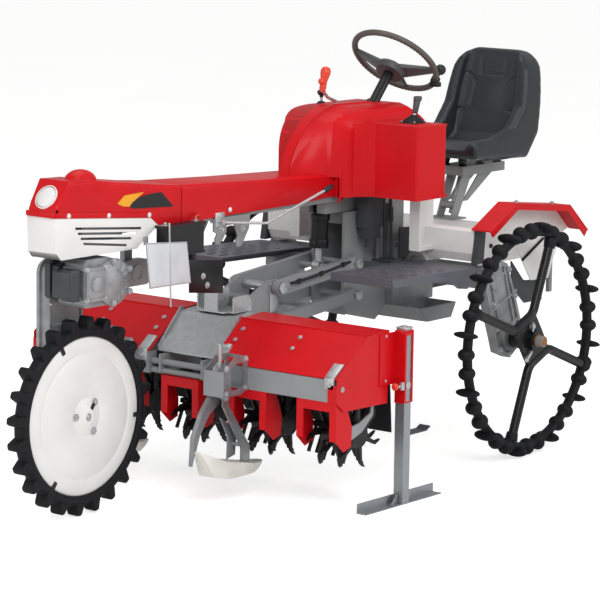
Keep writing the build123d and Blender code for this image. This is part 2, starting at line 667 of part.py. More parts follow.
# Steps: a sloped plate on each side, on two bars from the lift bracket
with BuildPart() as steps:
    for side in (1, -1):
        side_plate(
            [(1040, 726), (1040, 732), (1450, 722), (1604, 714), (1604, 708), (1450, 716)],
            sorted((side * 250, side * 520)),
        )
        side_plate(
            [(1036, 732), (1042, 732), (1450, 722), (1560, 716), (1500, 648), (1440, 656), (1380, 692),
             (1042, 704)],
            sorted((side * 516, side * 520)),
        )
        side_plate([(1036, 732), (1042, 732), (1042, 704), (1036, 704)], sorted((side * 250, side * 516)))
        for d in (1450, 1560):
            block((behind(d), behind(d + 30)), sorted((side * 76, side * 516)), (682, 708))
        side_plate([(1050, 704), (1050, 727), (1580, 711), (1580, 690)], sorted((side * 300, side * 306)))
save(steps, "steps")

# Valve block and control rods under the cowl, on one bracket
with BuildPart() as lift_controls:
    block((behind(1400), behind(1480)), (90, 150), (840, 966))
    block((behind(1410), behind(1470)), (94, 146), (800, 840))
    round_bar((behind(1440), 120, 770), (behind(1440), 120, 800), 18)
    block((behind(1480), behind(1570)), (90, 138), (950, 966))
    block((behind(1490), behind(1578)), (92, 138), (708.5, 714))
    for top_d, foot_d, y in ((1500, 1500, 100), (1530, 1540, 116), (1556, 1566, 128)):
        round_bar((behind(top_d), y, 960), (behind(foot_d), y, 710), 5)
        sleeve_d = (top_d + 0.2 * (foot_d - top_d), top_d + 0.4 * (foot_d - top_d))
        round_bar((behind(sleeve_d[0]), y, 905), (behind(sleeve_d[1]), y, 850), 9)
save(lift_controls, "lift_controls")

# Lift linkage between the frame bracket and the weeding unit
lift_rear_low = (LIFT_REAR[0], LIFT_REAR[1] - LIFT_DROP)
lift_front_low = (LIFT_FRONT[0], LIFT_FRONT[1] - LIFT_DROP)

with BuildPart() as lift_bracket:
    for y in ((-76, -64), (64, 76)):
        side_plate([(1345, 900), (1345, 560), (1370, 520), (1540, 480), (1600, 520), (1600, 900)], y)
    block((behind(1559), behind(1380)), (-64, 64), (850, 899))
    cross_bar(LIFT_REAR, (-120, 120), LIFT_PIN_R)
    cross_bar(lift_rear_low, (-120, 120), LOWER_PIN_R)
save(lift_bracket, "lift_bracket")


def lift_arm(rear, front, pin_r, depth, bar_at):
    """A pair of arms with bored ends, joined by a cross tube."""
    slope = (front[1] - rear[1]) / (rear[0] - front[0])
    middle = (rear[0] - bar_at, rear[1] + slope * bar_at)
    with BuildPart() as arm:
        for side in (1, -1):
            y = sorted((side * LIFT_ARM_Y[0], side * LIFT_ARM_Y[1]))
            side_plate(
                [(rear[0], rear[1] - depth), (rear[0], rear[1] + depth),
                 (front[0], front[1] + depth), (front[0], front[1] - depth)],
                y,
            )
            for end in (rear, front):
                cross_bar(end, y, depth)
            for end in (rear, front):
                cross_bar(end, y, pin_r + RUNNING_GAP, Mode.SUBTRACT)
        cross_bar(middle, (-LIFT_ARM_Y[0], LIFT_ARM_Y[0]), 9)
    return arm


save(lift_arm(LIFT_REAR, LIFT_FRONT, LIFT_PIN_R, 26, 95), "upper_lift_arms")
save(lift_arm(lift_rear_low, lift_front_low, LOWER_PIN_R, 22, 220), "lower_lift_arms")

def cylinder_point(height):
    """The point of the lift cylinder's centre line at a height."""
    share = (CYLINDER_TOP[1] - height) / (CYLINDER_TOP[1] - CYLINDER_EYE[1])
    return (behind(CYLINDER_TOP[0] + share * (CYLINDER_EYE[0] - CYLINDER_TOP[0])), 0, height)


with BuildPart() as cylinder:
    round_bar(cylinder_point(888), cylinder_point(772), 32)
    round_bar(cylinder_point(900), cylinder_point(880), 16)
    cross_bar(CYLINDER_TOP, (-16, 16), 22)
    cross_bar(CYLINDER_TOP, (-17, 17), LIFT_PIN_R + RUNNING_GAP, Mode.SUBTRACT)
    round_bar(cylinder_point(868), cylinder_point(760), 14 + RUNNING_GAP, Mode.SUBTRACT)
save(cylinder, "lift_cylinder")

with BuildPart() as rod:
    round_bar(cylinder_point(822), cylinder_point(721), 14)
    cross_bar(CYLINDER_EYE, (-14, 14), 20)
    cross_bar(CYLINDER_EYE, (-15, 15), 13, Mode.SUBTRACT)
save(rod, "lift_rod")

with BuildPart() as cylinder_mount:
    for y in ((-30, -18), (18, 30)):
        side_plate([(1262, 960), (1332, 960), (1312, 895), (1282, 895)], y)
    block((behind(1262), behind(1332)), (-50, 50), (948, 960))
    cross_bar(CYLINDER_TOP, (-30, 30), LIFT_PIN_R)
save(cylinder_mount, "cylinder_mount")

# Weeding unit: box beams on each side joined by two round bars, drive tubes behind them, and end cheeks
CHEEK = [
    (520, 466), (520, 400), (533, 363), (569, 272), (609, 256), (664, 274), (725, 324), (736, 400), (736, 466),
    (724, 466), (713, 333), (652, 307), (607, 301), (566, 328), (556, 466),
]
with BuildPart() as weeder_beam:
    for side in (1, -1):
        block((behind(BEAM_FRONT), behind(BEAM_FRONT + 42)), sorted((side * 140, side * BEAM_HALF)), BEAM_Z)
        block(
            (behind(BEAM_FRONT + 4), behind(BEAM_FRONT + 38)), sorted((side * 146, side * (BEAM_HALF - 4))),
            (BEAM_Z[0] + 4, BEAM_Z[1] - 4), Mode.SUBTRACT,
        )
        side_plate(CHEEK, sorted((side * BEAM_HALF, side * (BEAM_HALF + 6))))
    for z in (406, 438):
        cross_bar((529, z), (-145, 145), 11)
    for z in (465, 495):
        block((behind(700), behind(735)), (-BEAM_HALF, BEAM_HALF), (z, z + 30))
    for y in (-100, 90):
        block((behind(514), behind(735)), (y, y + 10), (400, 466))
save(weeder_beam, "weeder_beam")

with BuildPart() as mast:
    for side in (1, -1):
        y = sorted((side * 62, side * 74))
        side_plate(
            [(798, 650), (905, 698), (965, 698), (965, 530), (905, 520), (790, 440), (735, 440), (735, 588),
             (798, 588)],
            y,
        )
    block((behind(798), behind(850)), (-62, 62), (645, 650))
    cross_bar(LIFT_FRONT, (-112, 112), LIFT_PIN_R)
    cross_bar(lift_front_low, (-112, 112), LOWER_PIN_R)
save(mast, "weeder_mast")

with BuildPart() as covers:
    for side in (1, -1):
        side_plate(
            [(512, 474), COVER_RIDGE, COVER_REAR, (795, 560), (792, 560), (792, 606), (676, 599), (514, 472)],
            sorted((side * 140, side * 684)),
        )
save(covers, "weeder_covers")

with BuildPart() as end_panels:
    for side in (1, -1):
        side_plate(
            [(508, 394), (508, 478), (675, 602), (795, 610), (790, 357), (545, 362)],
            sorted((side * 686, side * 689)),
        )
        block((behind(505), behind(508)), sorted((side * 650, side * 689)), (394, 456))
save(end_panels, "end_panels")

# Sloping plate between the two red covers, with raised edges, and the post of the mast behind it
with BuildPart() as centre_plate:
    side_plate([(551, 470), (551, 476), (675, 598), (795, 605), (795, 600), (677, 594), (556, 472)], (-138, 138))
    for side in (1, -1):
        y = sorted((side * 132, side * 138))
        side_plate([(551, 470), (548, 488), (672, 612), (690, 612), (677, 594), (556, 472)], y)
save(centre_plate, "centre_plate")

with BuildPart() as mast_post:
    for side in (1, -1):
        side_plate(
            [(676, 612), (676, 690), (740, 690), (740, 640), (700, 612)], sorted((side * 24, side * 30))
        )
    block((behind(676), behind(682)), (-24, 24), (612, 690))
    block((behind(676), behind(760)), (-60, 60), (606, 612))
    side_plate([(700, 612), (700, 660), (706, 664), (780, 664), (798, 640), (798, 612)], (78, 84))
    side_plate([(700, 612), (700, 660), (706, 664), (780, 664), (798, 640), (798, 612)], (-84, -78))
    block((behind(700), behind(798)), (-84, 84), (606, 612))
save(mast_post, "mast_post")

# Rotors between the rows: tined drums on one line, turned together, each half beside its own drive case
with BuildPart() as rotors:
    for n in range(-2, 3):
        y = n * ROW_SPACING
        for low in (y - ROTOR_HALF, y + ROTOR_CASE_HALF + 6):
            high = low + ROTOR_HALF - ROTOR_CASE_HALF - 6
            cross_bar(ROTOR_CENTRE, (low, high), 44)
            for finger in range(TINES):
                start = low + finger * (high - low - TINE_WIDE) / (TINES - 1)
                with BuildSketch(Plane.XZ.offset(-start - TINE_WIDE)) as star:
                    with Locations((behind(ROTOR_CENTRE[0]), ROTOR_CENTRE[1])):
                        with PolarLocations(0, TINE_ROWS, start_angle=finger * 12):
                            Polygon((30, -8), (92, -6), (ROTOR_R, -20), (ROTOR_R - 4, -10), (98, 6), (30, 8),
                                    align=None)
                extrude(star.sketch, amount=TINE_WIDE)
        cross_bar(ROTOR_CENTRE, (y - ROTOR_HALF, y + ROTOR_HALF), ROTOR_SHAFT_R)
save(rotors, "rotors")

with BuildPart() as rotor_cases:
    for n in range(-2, 3):
        y = (n * ROW_SPACING - ROTOR_CASE_HALF, n * ROW_SPACING + ROTOR_CASE_HALF)
        side_plate([(700, 465), (735, 465), (690, 262), (638, 262)], y)
        cross_bar(ROTOR_CENTRE, y, 32)
        cross_bar(ROTOR_CENTRE, (y[0] - 1, y[1] + 1), ROTOR_SHAFT_R + RUNNING_GAP, Mode.SUBTRACT)
save(rotor_cases, "rotor_cases")

with BuildPart() as guards:
    for n in range(-2, 3):
        y = n * ROW_SPACING
        with BuildSketch(Plane.YZ.offset(behind(516))) as arch:
            Polygon(
                (y - 84, 395), (y + 84, 395), (y + 84, 262), (y + 56, 262), (y + 56, 362), (y - 56, 362),
                (y - 56, 262), (y - 84, 262), align=None,
            )
        extrude(arch.sketch, amount=6)
        for side in (1, -1):
            cheek_y = sorted((y + side * 80, y + side * 84))
            side_plate([(512, 395), (560, 395), (600, 300), (596, 236), (556, 222), (512, 262)], cheek_y)
        block((behind(510), behind(560)), (y - 70, y + 70), (389, 395))
save(guards, "rotor_guards")

# Rakes behind the rotors, over the rice rows: a carrier with a comb of slanting tines
with BuildPart() as rake:
    for row in (-1.5, -0.5, 0.5, 1.5):
        y = row * ROW_SPACING
        side_plate([(735, 466), (735, 495), (760, 495), (815, 252), (785, 252)], (y - 5, y + 5))
        block((behind(785), behind(815)), (y - 80, y + 80), (236, 253))
        for n in range(-2, 3):
            start = Vector(behind(800), y + n * 35, 240)
            run = Vector(44, 0, -90)
            with BuildSketch(Plane(origin=start, z_dir=run)) as section:
                RegularPolygon(7, 6)
            extrude(section.sketch, amount=run.length)
save(rake, "row_rake")

# Rubber flap across the back on its frame, and a small skid on a red bracket at each end
with BuildPart() as flap_frame:
    for side in (1, -1):
        block((behind(858), behind(866)), sorted((side * 82, side * 686)), (486, 506))
        block((behind(770), behind(866)), sorted((side * 680, side * 686)), (486, 506))
        side_plate(
            [(872, 506), (872, 560), (935, 560), (945, 545), (945, 440), (925, 440), (900, 506)],
            sorted((side * 650, side * 656)),
        )
        block((behind(850), behind(872)), sorted((side * 640, side * 656)), (506, 520))
save(flap_frame, "flap_frame")

with BuildPart() as rear_skids:
    for side in (1, -1):
        block((behind(925), behind(937)), sorted((side * 656, side * 674)), (226, 500))
        side_plate(
            [(922, 222), (922, 227), (1030, 227), (1052, 238), (1056, 234), (1032, 222)],
            sorted((side * 640, side * 684)),
        )
save(rear_skids, "rear_skids")

with BuildPart() as flap:
    for side in (1, -1):
        side_plate([(866, 500), (872, 500), (892, 232), (886, 232)], sorted((side * 82, side * 636)))
save(flap, "rear_flap")

# Row skids: a box bracket on the beam, a bent arm and a curved blade to a boat-shaped float
SKID_BOX = [(380, 382), (380, 470), (440, 512), (508, 512), (508, 395), (470, 382)]
SKID_WINDOW = [(420, 400), (420, 470), (452, 492), (490, 492), (490, 412), (460, 400)]
SKID_ARM = [(412, 345), (412, 392), (444, 392), (444, 345), (560, 186), (560, 124), (514, 124), (514, 186)]
SKID_LINK = [(430, 300), (448, 290), (520, 246), (512, 160), (470, 150), (474, 226)]
BLADE = [(400, 392), (430, 392), (436, 350), (380, 318), (330, 250), (292, 150), (300, 250), (345, 330)]
with BuildPart() as skids:
    for side in (1, -1):
        y = side * SKID_Y
        for wall in (-44, 38):
            side_plate(SKID_BOX, (y + wall, y + wall + 6))
            side_plate(SKID_WINDOW, (y + wall - 1, y + wall + 7), Mode.SUBTRACT)
        for d, z in ((380, 382), (380, 420), (380, 458), (500, 500), (500, 395)):
            block((behind(d), behind(d + 8)), (y - 38, y + 38), (z, z + 10))
        block((behind(380), behind(384)), (y - 38, y + 38), (382, 470))
        block((behind(400), behind(448)), (y - 38, y + 38), (382, 390))
        side_plate(SKID_ARM, (y + 10, y + 16))
        side_plate(SKID_LINK, (y - 16, y - 10))
        cross_bar((440, 370), (y - 16, y + 16), 8)
        cross_bar((500, 200), (y - 16, y + 16), 7)
        side_plate(BLADE, (y - 34, y - 16))
save(skids, "skid_mounts")

with BuildPart() as floats:
    for side in (1, -1):
        with BuildSketch(Plane.XZ.offset(-(side * SKID_Y + 46))):
            with BuildLine():
                Polyline(
                    (behind(637), 124), (behind(560), 96), (behind(420), 96), (behind(350), 110), (behind(296), 204),
                    (behind(400), 160), (behind(560), 128), close=True,
                )
            make_face()
        extrude(amount=92)
    with BuildSketch(Plane.XY.offset(60)):
        for side in (1, -1):
            with Locations((behind(466), side * SKID_Y)):
                Ellipse(174, 46)
    extrude(amount=160, mode=Mode.INTERSECT)
    for side in (1, -1):
        y = side * SKID_Y
        side_plate([(508, 118), (508, 150), (566, 150), (566, 118)], (y + 9.5, y + 16.5), Mode.SUBTRACT)
        side_plate([(464, 130), (464, 180), (518, 180), (518, 130)], (y - 16.5, y - 9.5), Mode.SUBTRACT)
        side_plate([(280, 140), (280, 260), (318, 260), (318, 140)], (y - 34.5, y - 15.5), Mode.SUBTRACT)
save(floats, "skid_floats")

# Parking stands: square tubes in open channels at the unit's ends, on angle-iron feet
with BuildPart() as sleeves:
    for side in (1, -1):
        block((behind(740), behind(875)), sorted((side * 689, side * 692.5)), (420, 600))
        block(
            (behind(STAND_BACK - 24), behind(STAND_BACK + 24)), sorted((side * 692.5, side * 735)), (357, 600)
        )
        block(
            (behind(STAND_BACK - 20), behind(STAND_BACK + 20)), sorted((side * 692.5, side * 732)), (350, 610),
            Mode.SUBTRACT,
        )
        block(
            (behind(STAND_BACK - 16), behind(STAND_BACK + 16)), sorted((side * 731, side * 736)), (350, 610),
            Mode.SUBTRACT,
        )
save(sleeves, "stand_sleeves")

for side, name in ((1, "left"), (-1, "right")):
    with BuildPart() as stand:
        y = side * STAND_Y
        block((behind(STAND_BACK - 19), behind(STAND_BACK + 19)), (y - 19, y + 19), (4, STAND_TOP))
        block((behind(STAND_BACK - 16), behind(STAND_BACK + 16)), (y - 16, y + 16), (40, STAND_TOP + 1), Mode.SUBTRACT)
        block((behind(STAND_FOOT[0]), behind(STAND_FOOT[1])), (y - 20, y + 20), (0, 4))
        block((behind(STAND_FOOT[0]), behind(STAND_FOOT[1])), sorted((y - side * 20, y - side * 16)), (0, 34))
    save(stand, f"stand_{name}")
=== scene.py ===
# The looks of a three-wheeled riding paddy weeder, around its CAD frame. +X forward, +Y left, +Z up.
# Blender has metres. Sizes and places below are millimetres, and "back" is behind the front axle.
import math

import bmesh
import bpy
from mathutils import Matrix, Vector


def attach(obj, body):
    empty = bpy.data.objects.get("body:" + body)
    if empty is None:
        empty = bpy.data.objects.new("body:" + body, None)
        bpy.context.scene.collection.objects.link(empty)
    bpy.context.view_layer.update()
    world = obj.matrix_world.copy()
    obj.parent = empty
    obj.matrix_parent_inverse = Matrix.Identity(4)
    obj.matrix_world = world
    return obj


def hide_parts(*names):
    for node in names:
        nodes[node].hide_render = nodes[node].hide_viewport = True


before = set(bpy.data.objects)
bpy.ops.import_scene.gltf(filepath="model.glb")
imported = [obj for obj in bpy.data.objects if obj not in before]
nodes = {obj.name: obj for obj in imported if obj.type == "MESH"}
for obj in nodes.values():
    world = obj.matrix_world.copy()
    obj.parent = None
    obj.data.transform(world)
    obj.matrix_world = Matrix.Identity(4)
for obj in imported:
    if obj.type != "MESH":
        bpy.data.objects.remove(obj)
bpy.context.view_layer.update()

MM = 0.001
FRONT_AXLE_X = 1.070
REAR_AXLE = 1787
FRONT_HUB_Z = 338
REAR_HUB_Z = 435
SIDES = ((1, "left"), (-1, "right"))
LEFT = (0, 1, 0)
UP = (0, 0, 1)
AHEAD = (1, 0, 0)
# Edges that turn by more than this, in radians, are rounded
SHARP = 0.6


def linear(hex_colour):
    """Linear colour of an sRGB hex value, with alpha."""
    parts = [int(hex_colour[n:n + 2], 16) / 255 for n in (1, 3, 5)]
    return tuple(c / 12.92 if c <= 0.04045 else ((c + 0.055) / 1.055) ** 2.4 for c in parts) + (1.0,)


def feed(tree, node, **inputs):
    """Fill a node's sockets. An input is a value, or another node's output to link."""
    for name, value in inputs.items():
        socket = node.inputs[name.replace("_", " ")]
        if isinstance(value, bpy.types.NodeSocket):
            tree.links.new(value, socket)
        else:
            socket.default_value = value


def add_node(tree, kind, settings=None, **inputs):
    """Add a shader node with its settings and what feeds its sockets."""
    node = tree.nodes.new(kind)
    for name, value in (settings or {}).items():
        setattr(node, name, value)
    feed(tree, node, **inputs)
    return node


def new_material(name):
    """An empty material, its tree, its shader and the object coordinates that its patterns use."""
    material = bpy.data.materials.new(name)
    material.use_nodes = True
    tree = material.node_tree
    shader = tree.nodes["Principled BSDF"]
    place = add_node(tree, "ShaderNodeTexCoord").outputs["Object"]
    return material, tree, shader, place


def noise(tree, place, size_mm, detail=3.0, roughness=0.5):
    """Noise with spots of about this size."""
    return add_node(
        tree, "ShaderNodeTexNoise", Vector=place, Scale=1 / (size_mm * MM), Detail=detail,
        Roughness=roughness,
    ).outputs["Fac"]


def cells(tree, place, size_mm, feature="F1"):
    """A pattern of rounded cells of about this size."""
    return add_node(
        tree, "ShaderNodeTexVoronoi", {"feature": feature}, Vector=place, Scale=1 / (size_mm * MM)
    ).outputs


def ramp(tree, factor, low, high, left, right):
    """A colour that goes from one to the other between two values of a pattern."""
    node = add_node(tree, "ShaderNodeValToRGB", Fac=factor)
    for stop, position, colour in zip(node.color_ramp.elements, (low, high), (left, right)):
        stop.position = position
        stop.color = colour
    return node.outputs["Color"]


def shades(tree, factor, low, high, hex_colour, dark, light):
    """A colour that goes from its darker to its lighter shade between two values of a pattern."""
    ends = [tuple(c * share for c in linear(hex_colour)[:3]) + (1.0,) for share in (dark, light)]
    return ramp(tree, factor, low, high, *ends)


def spread(tree, factor, low, high):
    """A 0 to 1 value turned into a range."""
    return add_node(tree, "ShaderNodeMapRange", Value=factor, To_Min=low, To_Max=high).outputs["Result"]


def bump(tree, height, depth_mm, strength):
    """A normal from a height pattern."""
    return add_node(
        tree, "ShaderNodeBump", Height=height, Distance=depth_mm * MM, Strength=strength
    ).outputs["Normal"]


def paint(name, hex_colour, roughness, coat, gloss=0.5):
    """Sprayed enamel: a faint orange peel, with slightly uneven gloss and depth of colour."""
    material, tree, shader, place = new_material(name)
    feed(
        tree, shader, Coat_Weight=coat, Coat_Roughness=0.08, Specular_IOR_Level=gloss,
        Base_Color=shades(tree, noise(tree, place, 180), 0.3, 0.7, hex_colour, 0.93, 1.04),
        Roughness=spread(tree, noise(tree, place, 40, 5.0), roughness - 0.06, roughness + 0.08),
        Normal=bump(tree, noise(tree, place, 2.5, 2.0), 0.05, 0.5),
    )
    return material


def moulded(name, hex_colour, roughness=0.42, grain_mm=1.2):
    """Moulded plastic with a fine grain."""
    material, tree, shader, place = new_material(name)
    feed(
        tree, shader,
        Base_Color=shades(tree, noise(tree, place, 60), 0.3, 0.7, hex_colour, 0.9, 1.06),
        Roughness=spread(tree, noise(tree, place, 20), roughness - 0.05, roughness + 0.08),
        Normal=bump(tree, cells(tree, place, grain_mm)["Distance"], 0.05, 0.5),
    )
    return material


def galvanised(name, hex_colour, spangle_mm, metallic):
    """Zinc-coated steel: spangles of slightly different greys under a dull gloss."""
    material, tree, shader, place = new_material(name)
    spangles = cells(tree, place, spangle_mm)["Color"]
    grey = add_node(tree, "ShaderNodeSeparateColor", Color=spangles).outputs["Red"]
    feed(
        tree, shader, Metallic=metallic,
        Base_Color=shades(tree, grey, 0.0, 1.0, hex_colour, 0.92, 1.06),
        Roughness=spread(tree, grey, 0.32, 0.5),
        Normal=bump(tree, noise(tree, place, 6, 4.0), 0.12, 0.4),
    )
    return material


def casting(name, hex_colour, metallic):
    """Cast metal: a sandy skin, with random patches of darker and lighter tone."""
    material, tree, shader, place = new_material(name)
    sand = noise(tree, place, 3.0, 6.0, 0.65)
    feed(
        tree, shader, Metallic=metallic,
        Base_Color=shades(tree, noise(tree, place, 45, 4.0), 0.3, 0.72, hex_colour, 0.78, 1.1),
        Roughness=spread(tree, sand, 0.42, 0.62),
        Normal=bump(tree, sand, 0.35, 0.7),
    )
    return material


def rubber(name, hex_colour, roughness):
    """Moulded rubber, dull, with a dusty bloom on parts of it."""
    material, tree, shader, place = new_material(name)
    feed(
        tree, shader, Specular_IOR_Level=0.3,
        Base_Color=shades(tree, noise(tree, place, 35, 5.0), 0.42, 0.8, hex_colour, 1.0, 1.6),
        Roughness=spread(tree, noise(tree, place, 12), roughness - 0.1, roughness + 0.1),
        Normal=bump(tree, noise(tree, place, 1.6, 4.0), 0.12, 0.6),
    )
    return material


def vinyl(name, hex_colour):
    """Grained seat vinyl: small rounded cells with fine creases between them, and painted shade darkening
    the creases.
    """
    material, tree, shader, place = new_material(name)
    grain_and_crease_shade = cells(tree, place, 2.4, "DISTANCE_TO_EDGE")["Distance"]
    feed(
        tree, shader, Sheen_Weight=0.15,
        # The creases of the grain are painted darker here, as shade.
        Base_Color=shades(tree, grain_and_crease_shade, 0.0, 0.12, hex_colour, 0.7, 1.08),
        Roughness=spread(tree, noise(tree, place, 30), 0.3, 0.44),
        Normal=bump(tree, grain_and_crease_shade, 0.25, 0.45),
    )
    return material


# Every finish of the machine, named for what it is
RED = paint("red_enamel", "#D00C17", 0.36, 0.06, 0.22)
WHITE = paint("white_enamel", "#EFEEEC", 0.36, 0.15)
DARK_STEEL = paint("dark_grey_enamel", "#3A3D42", 0.42, 0.1)
GREY_STEEL = paint("grey_painted_steel", "#909294", 0.4, 0.15)
STEP_STEEL = paint("blue_grey_enamel", "#5D5E68", 0.42, 0.1)
BLACK_STEEL = paint("black_enamel", "#0F1013", 0.34, 0.1, 0.35)
GALVANISED = galvanised("galvanised_steel", "#A2A6AA", 9.0, 0.75)
ZINC = galvanised("zinc_plated_steel", "#C6C8CA", 14.0, 0.8)
CAST = casting("cast_aluminium", "#A7A9AB", 0.55)
ENGINE_CAST = casting("dark_cast_iron", "#5A5C60", 0.35)
BRONZE = casting("copper_brown_primer", "#9A6A45", 0.3)
TYRE = rubber("tyre_rubber", "#0D0E12", 0.62)
FLAP = rubber("flap_rubber", "#1A1B1E", 0.55)
BLACK_PLASTIC = moulded("black_plastic", "#17181B")
GREY_PLASTIC = moulded("dark_grey_plastic", "#4A4A4D")
WHITE_PLASTIC = moulded("white_plastic", "#EDEBE4", 0.4)
RED_PLASTIC = moulded("orange_red_plastic", "#E2432A", 0.3)
RIM_PLASTIC = moulded("grey_brown_rim_plastic", "#57514D", 0.4, 2.0)
BLACK_FILM = moulded("black_film", "#17171A", 0.35, 3.0)
PALE_FILM = moulded("pale_grey_plate_face", "#D4D8DC", 0.4, 3.0)
YELLOW_FILM = moulded("yellow_orange_film", "#F2A81D", 0.35, 3.0)
VINYL = vinyl("seat_vinyl", "#1A2127")

# The finish of every CAD node
LOOKS = (
    (RED, (
        "hood", "beam_cover", "cowl", "lever_box", "mudguards", "weeder_covers", "end_panels",
        "rotor_guards", "stand_sleeves",
    )),
    (WHITE, ("hood_skirt", "front_wheel_disc", "rear_body", "inner_fenders")),
    (TYRE, ("front_tyre", "rear_tyre_left", "rear_tyre_right")),
    (FLAP, ("rear_flap",)),
    (BLACK_STEEL, (
        "rear_spider_left", "rear_spider_right", "steering_column", "rotors", "row_rake", "lift_cylinder",
    )),
    (DARK_STEEL, (
        "body_brackets", "rear_hitch", "engine", "lift_controls", "swivel_drive_cover", "rear_skids",
    )),
    (STEP_STEEL, ("steps",)),
    (GREY_STEEL, (
        "main_frame", "engine_plate", "seat_frame", "lift_bracket", "upper_lift_arms", "lower_lift_arms",
        "cylinder_mount", "belly_guard", "weeder_beam", "weeder_mast",
    )),
    (ZINC, ("lever_rods", "lift_rod", "notice_plate", "flap_frame", "centre_plate", "mast_post")),
    (GALVANISED, ("stand_left", "stand_right", "skid_mounts", "rotor_cases")),
    (CAST, ("steering_leg_case", "swivel_gear_head", "rear_gear_case", "final_drives", "drive_box")),
    (BLACK_PLASTIC, ("battery", "lever_grips")),
    (GREY_PLASTIC, ("steering_wheel",)),
    (WHITE_PLASTIC, ("skid_floats",)),
    (VINYL, ("seat",)),
)
for finish, names in LOOKS:
    for name in names:
        nodes[name].data.materials.clear()
        nodes[name].data.materials.append(finish)


def at(back, y, z):
    """A place, from millimetres behind the front axle, to the left and above the ground."""
    return Vector((FRONT_AXLE_X - back * MM, y * MM, z * MM))


def level_with(y, pairs):
    """The places of several (back, height) pairs at one distance to the left."""
    return [at(back, y, z) for back, z in pairs]


def facing(place, direction):
    """The matrix that puts a form at a place, with its Z axis along a direction."""
    return Matrix.Translation(place) @ Vector(direction).to_track_quat("Z", "Y").to_matrix().to_4x4()


def piece(name, form, material, body="chassis", crease=35):
    """A finished form as an object on a body, smooth except at edges sharper than the crease."""
    mesh = bpy.data.meshes.new(name)
    form.to_mesh(mesh)
    form.free()
    mesh.materials.append(material)
    mesh.polygons.foreach_set("use_smooth", [True] * len(mesh.polygons))
    mesh.set_sharp_from_angle(angle=math.radians(crease))
    obj = bpy.data.objects.new(name, mesh)
    bpy.context.scene.collection.objects.link(obj)
    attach(obj, body)
    return obj


def soften(form, faces, width_mm, segments=2):
    """Round the sharp edges of these faces."""
    edges = {e for f in faces for e in f.edges if e.is_manifold and e.calc_face_angle(0) > SHARP}
    if edges:
        bmesh.ops.bevel(
            form, geom=list(edges), offset=width_mm * MM, affect="EDGES", segments=segments, profile=0.5,
            material=-1,
        )


def faces_at(corners):
    """The faces that meet at these corners."""
    return {f for v in corners for f in v.link_faces}


def rod(form, start, end, radius_mm, end_radius_mm=None, segments=20, edge_mm=0.8):
    """A round bar, or a cone, between two places, with rounded ends."""
    run = end - start
    made = bmesh.ops.create_cone(
        form, cap_ends=True, segments=segments, radius1=radius_mm * MM,
        radius2=(radius_mm if end_radius_mm is None else end_radius_mm) * MM, depth=run.length,
        matrix=facing((start + end) / 2, run),
    )
    if edge_mm:
        soften(form, {f for f in faces_at(made["verts"]) if len(f.verts) > 4}, edge_mm)


def pin(form, back, z, start_y, end_y, radius_mm, edge_mm=0.8):
    """A round pin from left to right, or the other way."""
    rod(form, at(back, start_y, z), at(back, end_y, z), radius_mm, edge_mm=edge_mm)


def block(form, low, high, edge_mm=1.5, segments=2):
    """A block between two corners, with rounded edges."""
    size = high - low
    scale = Matrix.Diagonal((abs(size.x), abs(size.y), abs(size.z), 1))
    made = bmesh.ops.create_cube(form, size=1, matrix=Matrix.Translation((low + high) / 2) @ scale)
    soften(form, faces_at(made["verts"]), edge_mm, segments)


def shaped_block(form, stand, size_mm, inner=(1, 1), outer=(1, 1)):
    """A block in a place's own directions, with the share of its width and height at each end."""
    scale = Matrix.Diagonal((*(n * MM for n in size_mm), 1))
    made = bmesh.ops.create_cube(form, size=1, matrix=stand @ scale)
    for corner in made["verts"]:
        local = stand.inverted() @ corner.co
        width, height = outer if local.z > 0 else inner
        corner.co = stand @ Vector((local.x * width, local.y * height, local.z))
    return faces_at(made["verts"])


def sheet(form, corners, thick_mm):
    """A flat sheet from its corners, thickened to the left. Returns its faces."""
    face = form.faces.new([form.verts.new(corner) for corner in corners])
    made = bmesh.ops.extrude_face_region(form, geom=[face])["geom"]
    moved = [v for v in made if isinstance(v, bmesh.types.BMVert)]
    bmesh.ops.translate(form, verts=moved, vec=(0, thick_mm * MM, 0))
    faces = faces_at(moved) | {face}
    bmesh.ops.recalc_face_normals(form, faces=list(faces))
    return faces


def plate(form, outline, low_y, high_y, edge_mm=0.6):
    """A plate between two Y limits, from an outline of (back, height)."""
    faces = sheet(form, level_with(low_y, outline), high_y - low_y)
    soften(form, faces, edge_mm)


def ball(form, place, radius_mm):
    """A ball."""
    bmesh.ops.create_uvsphere(
        form, u_segments=24, v_segments=12, radius=radius_mm * MM, matrix=Matrix.Translation(place)
    )


def turned(form, place, axis, profile, steps):
    """A profile of (radius, distance along the axis) spun round the axis at a place."""
    stand = facing(place, axis)
    before = set(form.verts)
    corners = [form.verts.new(stand @ Vector((radius * MM, 0, along * MM))) for radius, along in profile]
    closed = profile[0][0] > 0 or profile[-1][0] > 0
    edges = [form.edges.new((corners[n - 1], corners[n])) for n in range(0 if closed else 1, len(corners))]
    bmesh.ops.spin(
        form, geom=corners + edges, cent=place, axis=Vector(axis).normalized(), angle=math.tau,
        steps=steps, use_merge=True, use_duplicate=False,
    )
    bmesh.ops.remove_doubles(form, verts=[v for v in form.verts if v not in before], dist=0.000002)
    bmesh.ops.recalc_face_normals(form, faces=list(faces_at(v for v in form.verts if v not in before)))


def bolt(form, place, direction, across_mm, head_mm, washer):
    """A hexagon bolt head, on a washer where it has one, with the rounded top of its shank."""
    out = Vector(direction).normalized() * MM
    base = place
    if washer:
        rod(form, base - out, base + out * 1.5, across_mm * 0.95, edge_mm=0.4)
        base = base + out * 1.4
    top = base + out * head_mm
    rod(form, base, top, across_mm * 0.577, segments=6, edge_mm=0.7)
    rod(form, top - out, top + out * 1.6, across_mm * 0.3, segments=12, edge_mm=0.6)


